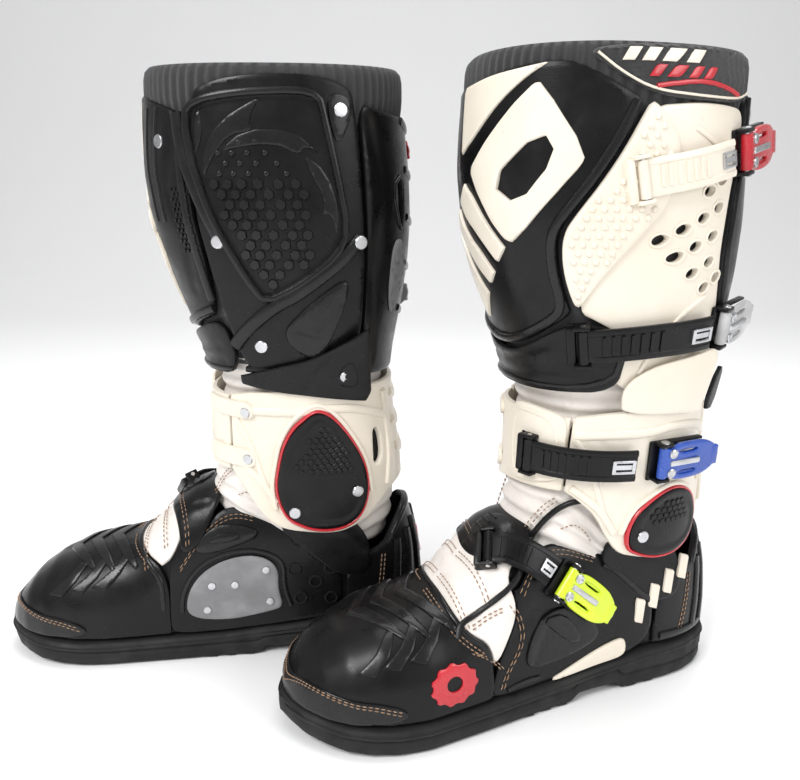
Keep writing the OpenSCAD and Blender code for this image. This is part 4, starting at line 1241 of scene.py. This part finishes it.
# raised red cog mark on the outer side of the toe cap
cog = []
for k in range(44):
    a = 2 * math.pi * k / 44
    r = 12.6 + (1.7 if (k // 2) % 2 else 0)
    cog.append((124 + r * 1.15 * math.cos(a), 39 + r * 0.92 * math.sin(a)))
eye_hole = [(124 + 5.4 * math.cos(a), 39.5 + 4.6 * math.sin(a)) for a in np.linspace(0, 2 * math.pi, 16,
    False)]
s = panel(foot, on_side(cog), 0.5, 1.5, 2.0, 0.6, holes=[on_side(eye_hole)], times=1)
piece("side_cog", s, [RED], "foot", "red")

# side panels: dark, with layered edges; outer facet and light crescent, inner facet and hexagon rings
UPPER_EDGE = [(75, 89), (64, 106), (54, 111.5), (44, 111), (32, 107), (20, 102), (8, 100), (-8, 86),
              (-25.6, 71)]


def side_outline(m):
    low = [(x, float(foot_z(x, z, m))) for x, z in ((-25.6, 29), (20, 23.6), (60, 21), (90, 20.2))]
    front = edge_line(vamp_back, (3, 9, 16, 22, 28, 34, 40), -0.4)
    if m < 0:
        front = [(float(vamp_back(180 - p)) - 0.4, 180 - p) for p in (3, 9, 16, 22, 30, 38, 46)]
    return low + front + on_side(UPPER_EDGE, m)


outer_cuts = [foot_groove(on_side([(84, 60), (66, 72), (44, 66), (30, 44)]), 4, 1.1),
              foot_groove(on_side([(14, 92), (2, 74), (-14, 60)]), 3, 0.9)]
s = panel(foot, side_outline(1), -2.4, 2.6, 2.6, 1.4, relief=reliefs(*outer_cuts))
piece("outer_side_panel", s, [BLACK], "foot", "black", "outer_panel")
s = panel(foot, on_side([(74, 34), (70, 56), (58, 70), (40, 72), (24, 62), (16, 46), (24, 40), (48,
    34)]), 0.0,
          1.8, 2.4, 1.2, relief=reliefs(foot_groove(on_side([(66, 40), (56, 60), (34, 62)]), 3, 0.9)))
panel(foot, on_side([(62, 66), (45, 68), (31, 48), (37, 44), (50, 54)]), 1.0, 2.4, 2.2, 1.0, times=1,
      shape=s)
piece("outer_facet", s, [BLACK2], "foot", "black")
s = panel(foot, on_side([(56, 20.8), (40, 27), (22, 34), (6, 39), (-3, 40), (-5, 32), (-3, 26), (16,
    24.5), (38, 22)]),
          0.0, 2.2, 2.0, 1.0)
piece("side_crescent", s, [WHITE], "foot", "cream")
s = Shape()
for off in (0, 2.4):
    stitch(foot, on_side([(76 - off, 86 - off), (64, 102 - off), (54, 107.5 - off), (44, 107 - off), (32,
        103 - off),
                           (20, 98 - off)]),
           0.4, s, r=0.36)
    stitch(foot, on_side([(91 - off, 26), (88 - off, 36), (76 - off, 54), (78 - off, 70), (84 - off,
        80)]), 0.4, s,
           r=0.36)
piece("outer_seams", s, [BROWN], "foot", "leather")
s = Shape()
ridge(foot, on_side([(86, 24), (72, 27), (62, 26)]), 0.2, 3.0, 1.2, shape=s)
ridge(foot, on_side([(-24, 62), (-10, 74), (4, 88), (14, 94)]), 0.2, 4.0, 1.5, shape=s)
piece("outer_side_ridges", s, [BLACK2], "foot", "black")

s = panel(foot, side_outline(-1), -2.4, 2.6, 2.6, 1.4)
for x, z in ((6, 88), (-6, 78), (8, 66), (-7, 56), (-18, 66), (4, 44), (-18, 43)):
    hexagon = [(x + 4.8 * math.cos(a), z + 4.8 * math.sin(a)) for a in np.arange(6) * math.pi / 3]
    ridge(foot, on_side(hexagon, -1), -0.1, 1.8, 1.2, True, shape=s, times=1, step=1.2)
piece("inner_side_panel", s, [BLACK], "foot", "black", "inner_panel")
s = panel(foot, on_side([(80, 84), (62, 100), (38, 98), (30, 92), (44, 86), (70, 78)], -1), 0.0, 2.0,
          2.4, 1.2)
panel(foot, on_side([(70, 86), (60, 94), (42, 93), (52, 87)], -1), 1.9, 1.2, 2.2, 0.8, shape=s)
piece("inner_facet", s, [BLACK2], "foot", "black")
s = panel(foot, on_side([(84, 33), (84, 50), (74, 66), (52, 77), (30, 77), (19, 68), (20, 52), (16, 38),
                         (26, 35),
                         (54, 30)], -1), 0.4, 3.2, 2.2, 1.4,
          relief=reliefs(foot_groove(on_side([(30, 70), (44, 66), (58, 72)], -1), 2.4, 0.8),
                         foot_groove(on_side([(34, 46), (52, 42), (64, 44)], -1), 2.0, 0.8)))
piece("shift_guard", s, [GREY], "foot", "grey", "shift_plate")
s = Shape()
for x, z in ((50, 58), (28, 68), (70, 40), (26, 44), (66, 58)):
    screw(foot, x, float(foot_z(x, z, -1)), 3.3, 2.8, s)
piece("shift_screws", s, [STEEL], "foot", "steel")
s = Shape()
ridge(foot, on_side([(88, 38), (87, 52), (77, 70), (54, 81), (30, 81), (15, 72), (16, 54), (11, 38)],
                    -1), 0.2, 3.4,
      1.4, shape=s)
piece("inner_side_ridges", s, [BLACK2], "foot", "black")
s = Shape()
for off in (0, 2.4):
    stitch(foot, on_side([(88, 70 - off), (76, 88 - off), (62, 102 - off), (50, 107 - off), (36,
        104 - off)], -1), 0.4,
           s, r=0.36)
piece("inner_seams", s, [BROWN], "foot", "leather")

# heel counter with layered upright ridges, and the ankle flaps that carry the lower pivots
HEEL = [(89, 29), (89, 70), (104, 77), (119, 83), (128, 92), (140, 100), (155, 105.5), (180, 108),
        (205, 105.5), (220, 100), (232, 92), (241, 83), (256, 77), (271, 70), (271, 29), (230, 28.6),
        (180, 28.6), (130, 28.6)]
s = panel(heel, HEEL, -2.4, 2.7, 3.0, 1.6, keep=(0, 14))
piece("heel_counter", s, [BLACK], "foot", "black", "heel_cup")
FLAP_SIDE = [(-44, 62), (-47, 76), (-44, 90), (-36, 101), (-25, 111), (-8, 117), (8, 114), (15, 105),
             (17, 97), (8, 88), (-8, 74), (-24, 60)]
s = Shape()
for m in (1, -1):
    f = side_frame(m, 35.1)
    panel(frame_surf(f), FLAP_SIDE, 0, 3.2, 2.6, 1.4, shape=s,
          relief=reliefs(groove([(-42, 80), (-30, 94), (-10, 98)], 3, 0.9, 1.0, 1.0)))
for m in (1, -1):
    panel(frame_surf(side_frame(m, 32.6)), [(-46, 27), (-12, 27), (-12, 66), (-24, 76), (-46, 76)], 0,
          2.0, 5, 0.8,
          times=0, shape=s)
piece("ankle_flaps", s, [BLACK], "foot", "black")
s = Shape()
for m in (1, -1):
    for k, a in enumerate((131, 147, 163)):
        t = a if m > 0 else 360 - a
        ridge(heel, [(t - m * 6, 32), (t - m * 3, 56), (t + m * 2, 84 + 5 * k)], 0.2, 6, 1.8 + 0.4 * k,
              shape=s)
    for off in (0, 3):
        t = 115 + off if m > 0 else 245 - off
        stitch(heel, [(t - m * 8, 34), (t - m * 4, 52), (t, 76)], 0.5, s, mat=1)
ridge(heel, [(92, 34), (130, 33), (180, 33), (230, 33), (268, 34)], 0.2, 5, 1.8, shape=s)
ridge(heel, [(122, 82), (132, 92), (144, 99), (160, 103.5), (180, 105), (200, 103.5), (216, 99), (228, 92),
             (238, 82)], 0.2, 4, 1.6, shape=s)
piece("heel_ridges", s, [BLACK2, BROWN], "foot", "black")
s = Shape()
ring = [(180 + 11 * math.cos(a), 72 + 9 * math.sin(a)) for a in np.linspace(0, 2 * math.pi, 14, False)]
ridge(heel, ring, 0.4, 3.0, 1.4, True, shape=s, times=1)
piece("heel_ring", s, [RED], "foot", "red")
# slanted light bars along the rear quarter
s = Shape()
quarter = frame_surf(side_frame(1, 37.9))
for k in range(4):
    x, z = -15 - 10.5 * k, 57 + 9.2 * k
    panel(quarter, [(x - 2.2, z - 10), (x + 4.2, z - 7.6), (x + 3.2, z + 9.4), (x - 3.6, z + 7)], 0.0,
          2.0, 2.0, 0.6,
          times=0, shape=s)
piece("heel_bars", s, [WHITE], "foot", "cream")

# instep flap over the tongue
FLAP = [(99, 78), (96, 66), (90, 55), (77, 51.5), (65, 55), (60, 66), (58, 90), (58, 112), (61, 126),
        (68, 138), (78, 145),
        (87, 144), (88, 134), (91.5, 123), (96, 108), (99, 92)]
s = panel(foot, FLAP, 0.5, 2.2, 2.2, 1.2,
          relief=reliefs(foot_groove([(93, 112), (82, 122), (68, 124)], 3, 0.8)))
piece("instep_flap", s, [BLACK], "foot", "black")
s = panel(foot, [(96, 76), (92, 62), (80, 58), (70, 64), (70, 84), (76, 96), (90, 97), (96, 88)], 2.5, 1.5,
          2.2, 0.9, times=1)
for k in range(4):
    ridge(foot, [(92 - 5 * k, 84), (92 - 5 * k, 95)], 3.9, 2.0, 0.8, shape=s)
piece("instep_hood", s, [BLACK2], "foot", "black")
s = Shape()
for off in (3.0, 5.2):
    stitch(foot, [(96.5 - off, 75), (93.5 - off, 66), (88, 56 + off * 0.5), (77, 53 + off * 0.6), (67,
        56 + off * 0.6)],
           2.6, s, r=0.36)
    stitch(foot, [(96 - off, 92), (94 - off, 106), (90 - off, 121), (86.5 - off, 134), (86 - off, 142)],
           2.6, s, r=0.36)
piece("instep_seams", s, [BROWN], "foot", "leather")

# ---------------------------------------------------------------- buckles
# run: surface, anchor, strap end, lever hinge, point under the lever's tip, standoff

HINGE = 6.0
PIN_R, HUB_R = 1.5, 3.0
LEVER_BEND = 0.0016
CHEEK = 11.8
STRAP_W = 20.0
STRAP_T = 2.6
RUNS = {
    "top": (leg, (80, 335), (115, 347), (124, 350), (150, 356), 0, "cuff", RED, "red", WHITE, "cream"),
    "calf": (leg, (53, 245), (112, 250), (122, 251), (150, 254), 0, "cuff", PALE, "cream", BLACK, "black"),
    "ankle": (leg, (22, 171), (84, 169), (95, 169), (135, 170), 2.5, "ankle", BLUE, "blue", BLACK, "black"),
    "instep": (run_foot, (88, 70), (54, 38), (46, 31), (14, 4), 0, "foot", LIME, "lime", BLACK, "black"),
}
BASE_NODES = {"top": ("cuff_bases",), "ankle": ("ankle_base",), "instep": ("instep_base",)}
ANCHOR_NODES = {"instep": ("instep_anchor",)}
LEVER = [(-0.9, -9.2), (5, -9.6), (9, -12.2), (28, -12.0), (36, -9.2), (41.5, -5.0), (43, 0), (41.5, 5.0),
         (36, 9.2), (28, 12.0), (9, 12.2), (5, 9.6), (-0.9, 9.2)]
LEVER_HOLES = [[(10, -8.6), (24, -8.2), (24, -5.8), (10, -5.8)], [(10, 5.8), (24, 5.8), (24, 8.2), (10,
    8.6)]]


def local(m, verts):
    verts = np.asarray(verts, float)
    return m[:, 3] + verts[:, :1] * m[:, 0] + verts[:, 1:2] * m[:, 1] + verts[:, 2:] * m[:, 2]


def cross_bar(m, x, z, half, r, shape, n=10):
    pos = local(m, [(x, y, z) for y in np.linspace(-half, half, 5)])
    tan = np.tile(m[:, 1], (5, 1))
    nor = np.tile(m[:, 2], (5, 1))
    return sweep(pos, tan, nor, round_bar(r, n), shape=shape)


def block(m, x0, x1, y0, y1, z0, z1, shape, r=0.8):
    """A rounded block in a local frame."""
    x, y = (x0 + x1) / 2, (y0 + y1) / 2
    hx, hy = (x1 - x0) / 2, (y1 - y0) / 2
    verts = []
    for z, ins in ((z0, r * 0.3), (z0 + r * 0.3, 0), (z1 - r, 0), (z1 - r * 0.3, r * 0.3), (z1, r)):
        for cx, cy in ((1, 1), (-1, 1), (-1, -1), (1, -1)):
            for a in (0, 45, 90):
                t = math.radians(a + {(1, 1): 0, (-1, 1): 90, (-1, -1): 180, (1, -1): 270}[(cx, cy)])
                verts.append((x + cx * (hx - r) + (r - ins) * math.cos(t),
                              y + cy * (hy - r) + (r - ins) * math.sin(t), z))
    faces = band_faces(5, 12)
    faces += [tuple(range(11, -1, -1)), tuple(48 + k for k in range(12))]
    return shape.add(local(m, verts), faces)


def strap_line(surf, a, b, d, start, stop, n=40):
    """Points along a strap between two fractions of its run."""
    f = np.linspace(start, stop, n)
    u, v = a[0] + (b[0] - a[0]) * f, a[1] + (b[1] - a[1]) * f
    nor = np.array([normal_at(surf, p, q) for p, q in zip(u, v)])
    pos = surf(u, v, 0) + nor * d
    tan = np.gradient(pos, axis=0)
    tan /= np.linalg.norm(tan, axis=1)[:, None]
    return pos, tan, nor


for name, (surf, a, b, hinge, tip, off, body, lever_mat, lever_slot, strap_mat, strap_slot) in RUNS.items():
    m = frame_at(surf, *hinge, off, tip)
    m_a = frame_at(surf, *a, off, hinge)
    # base: fitted tray, two cheeks and the pin
    s = Shape()
    block(m, -7.5, 13, -12.9, 12.9, 0.6, 2.5, s)
    for side in (-1, 1):
        block(m, -4.6, 5.0, side * CHEEK - 1.15, side * CHEEK + 1.15, 1.0, HINGE + 2.9, s, r=0.7)
        block(m, 5.0, 30, side * 11.9 - 0.9, side * 11.9 + 0.9, 0.8, 4.4, s, r=0.6)
    piece(f"{name}_buckle_base", s, [BLACK], body, "black", *BASE_NODES.get(name, ()))
    s = Shape()
    cross_bar(m, 0, HINGE, 13.3, PIN_R, s)
    for side in (-1, 1):
        f = np.column_stack([m[:, 2], m[:, 0], m[:, 1],
                             m[:, 3] + m[:, 2] * HINGE + m[:, 1] * side * 13.0])
        lathe(f, [(2.6, -0.3), (2.6, 0.5), (1.8, 0.9), (0.8, 1.0)] if side > 0
              else [(2.6, 0.3), (2.6, -0.5), (1.8, -0.9), (0.8, -1.0)], s, 16)
    f = np.column_stack([m[:, 0], m[:, 1], m[:, 2], m[:, 3] + m[:, 0] * 9.5])
    lathe(f, [(2.4, 2.2), (2.4, 2.8), (1.6, 3.1)], s, 16)
    piece(f"{name}_buckle_pin", s, [STEEL], body, "steel")
    # anchor: plate, cheeks, hooded top and pin
    s = Shape()
    block(m_a, -9.5, 4.6, -12.9, 12.9, 0.6, 2.3, s, r=1.0)
    for side in (-1, 1):
        block(m_a, -5.4, 4.2, side * CHEEK - 1.15, side * CHEEK + 1.15, 1.0, HINGE + 2.9, s, r=0.7)
    block(m_a, -9.5, -4.2, -12.0, 12.0, 1.0, HINGE + 0.8, s, r=1.4)
    piece(f"{name}_strap_anchor", s, [strap_mat if name == "top" else BLACK], body, strap_slot,
          *ANCHOR_NODES.get(name, ()))
    s = Shape()
    cross_bar(m_a, 0, HINGE, 13.2, PIN_R, s)
    piece(f"{name}_anchor_pin", s, [STEEL], body, "steel")
    # lever: curved plate with slots, hub, steel bar and two discs
    s = Shape()
    panel(frame_surf(m, LEVER_BEND), LEVER, HINGE + 0.6, 2.6, 2.0, 1.1, holes=LEVER_HOLES, shape=s)
    cross_bar(m, 0, HINGE, 9.9, HUB_R, s, 14)
    for side in (-1, 1):
        block(m, 0, 25, side * 8.2 - 1.2, side * 8.2 + 1.2, HINGE - 2.2, HINGE + 1.4, s, 0.7)
    block(m, 35.5, 41.5, -6.5, 6.5, HINGE - 1.4, HINGE + 1.2, s, 0.9)
    piece(f"{name}_lever_arm", s, [lever_mat], f"{name}_lever_body", lever_slot, f"{name}_lever")
    s = Shape()
    block(m, 3.0, 25.0, -1.9, 1.9, HINGE + 2.6, HINGE + 4.2, s, 0.8)
    cross_bar(m, 6.5, HINGE - 0.6, 10.6, 1.2, s)
    for side in (-1, 1):
        f = np.column_stack([m[:, 0], m[:, 1], m[:, 2], m[:, 3] + m[:, 0] * 4.5 + m[:, 1] * side * 6.4])
        lathe(f, [(3.0, HINGE + 2.2), (3.0, HINGE + 4.0), (2.2, HINGE + 4.4), (0.9, HINGE + 4.1)], s, 18)
    piece(f"{name}_lever_steel", s, [STEEL], f"{name}_lever_body", "steel")
    # strap: ribbed band with an eye, ladder teeth and a metal window at its end
    s = Shape()
    d = off + HINGE - 1.4
    w, t = STRAP_W / 2, STRAP_T
    prof = [(w - 0.6, 0), (w, 0.6), (w, t - 0.5), (w - 1.4, t), (w - 3.2, t), (w - 3.8, t - 0.5),
            (-w + 3.8, t - 0.5), (-w + 3.2, t), (-w + 1.4, t), (-w, t - 0.5), (-w, 0.6), (-w + 0.6, 0)]
    pos, tan, nor = strap_line(surf, a, b, d, 0.02, 0.98)
    sweep(pos, tan, nor, prof, shape=s)
    cross_bar(m_a, 0, HINGE, 10.0, HUB_R, s, 14)
    for f in np.linspace(0.16, 0.58, 7):
        p, q, r = strap_line(surf, a, b, d + t - 0.7, f - 0.012, f + 0.012, 2)
        sweep(p, q, r, [(5.6, 0), (5.6, 1.1), (-5.6, 1.1), (-5.6, 0)], shape=s)
    piece(f"{name}_strap_band", s, [strap_mat], f"{name}_strap_body", strap_slot, f"{name}_strap")
    s = Shape()
    p, q, r = strap_line(surf, a, b, d + t - 0.2, 0.79, 0.95, 12)
    for side in (-1, 1):
        edge = np.cross(r, q)
        edge /= np.linalg.norm(edge, axis=1)[:, None]
        sweep(p + edge * side * 3.6, q, r, bead(2.0, 1.3, -0.4), shape=s)
    for f in (0.79, 0.95):
        pp, qq, rr = strap_line(surf, a, b, d + t - 0.2, f - 0.014, f + 0.014, 3)
        sweep(pp, qq, rr, [(4.2, -0.4), (4.2, 1.2), (-4.2, 1.2), (-4.2, -0.4)], shape=s)
    sweep(p, q, r, [(1.5, -0.4), (1.5, 0.7), (-1.5, 0.7), (-1.5, -0.4)], shape=s)
    piece(f"{name}_strap_window", s, [STEEL], f"{name}_strap_body", "steel")

# ---------------------------------------------------------------- the CAD pivots stay, in steel
for side in PLACES:
    node = frame["nodes"][f"{side}_ankle_pivots"]
    node.data.materials.clear()
    node.data.materials.append(STEEL)

# inside: insole board
xs = np.arange(-76, 200, 6.0)
o, i, w = sole_outer(xs) - 8, sole_inner(xs) - 8, foot_welt(xs)
rows = [np.stack([xs, y, w + z], -1) for y, z in ((o, -0.8), (o, 2.0), (o - 3, 3.0), (-i + 3, 3.0), (-i,
    2.0),
                                                  (-i, -0.8))]
s = Shape().add(np.vstack(rows), strip_faces(len(rows), len(xs)))
piece("insole", s, [LINING], "foot", "fabric")

# ---------------------------------------------------------------- camera, light, floor

CAM_AT = (32.7, -521.9, 331.5)
CAM_PITCH = 14.28
CAM_LENS = CAM_SENSOR = 36.0

cam = bpy.data.cameras.new("camera")
cam.lens = CAM_LENS
cam.sensor_width = CAM_SENSOR
cam.sensor_fit = "HORIZONTAL"
cam.clip_start = 0.01
eye = bpy.data.objects.new("camera", cam)
eye.location = Vector(CAM_AT) * MM
eye.rotation_euler = (math.radians(90 - CAM_PITCH), 0, 0)
bpy.context.scene.collection.objects.link(eye)
bpy.context.scene.camera = eye

floor_mat = Mat("studio_floor", (0.93, 0.93, 0.935), 0.7)
floor_mat.tint(floor_mat.ramp(floor_mat.noise(2, 2), 0.3, 0.8), (0.91, 0.91, 0.92), 0.6)
FLOOR_HALF, BACK_Y, BEND, BACK_TOP = 5.0, 1.5, 1.3, 5.0
rows = [(-FLOOR_HALF, 0.0), (BACK_Y, 0.0)]
rows += [(BACK_Y + BEND * math.sin(a), BEND * (1 - math.cos(a))) for a in np.linspace(0.08, math.pi / 2, 20)]
rows.append((BACK_Y + BEND, BACK_TOP))
fm = bpy.data.meshes.new("studio_floor")
fm.from_pydata([(x, y, z - 0.0005) for y, z in rows for x in (-FLOOR_HALF, FLOOR_HALF)], [],
               [(2 * k, 2 * k + 1, 2 * k + 3, 2 * k + 2) for k in range(len(rows) - 1)])
fm.polygons.foreach_set("use_smooth", np.ones(len(fm.polygons), bool))
fm.materials.append(floor_mat.m)
floor = bpy.data.objects.new("studio_floor", fm)
bpy.context.scene.collection.objects.link(floor)


def area(name, at, aim, size, power):
    light = bpy.data.lights.new(name, "AREA")
    light.shape = "RECTANGLE"
    light.size, light.size_y = size
    light.energy = power
    o = bpy.data.objects.new(name, light)
    o.location = at
    o.rotation_euler = (Vector(aim) - Vector(at)).to_track_quat("-Z", "Y").to_euler()
    bpy.context.scene.collection.objects.link(o)


area("key_soft", (-0.9, -1.2, 1.5), (0, 0, 0.2), (0.8, 0.8), 31)
area("fill_soft", (1.5, -1.1, 1.0), (0.05, 0, 0.2), (1.0, 1.0), 13)
area("top_soft", (0.1, 0.3, 1.9), (0, 0, 0), (1.3, 1.3), 22)
WORLD_LIGHT = 0.46
world = bpy.data.worlds.new("studio")
world.use_nodes = True
world.node_tree.nodes["Background"].inputs[0].default_value = (1, 1, 1, 1)
world.node_tree.nodes["Background"].inputs[1].default_value = WORLD_LIGHT
bpy.context.scene.world = world
bpy.context.scene.view_settings.view_transform = "Standard"
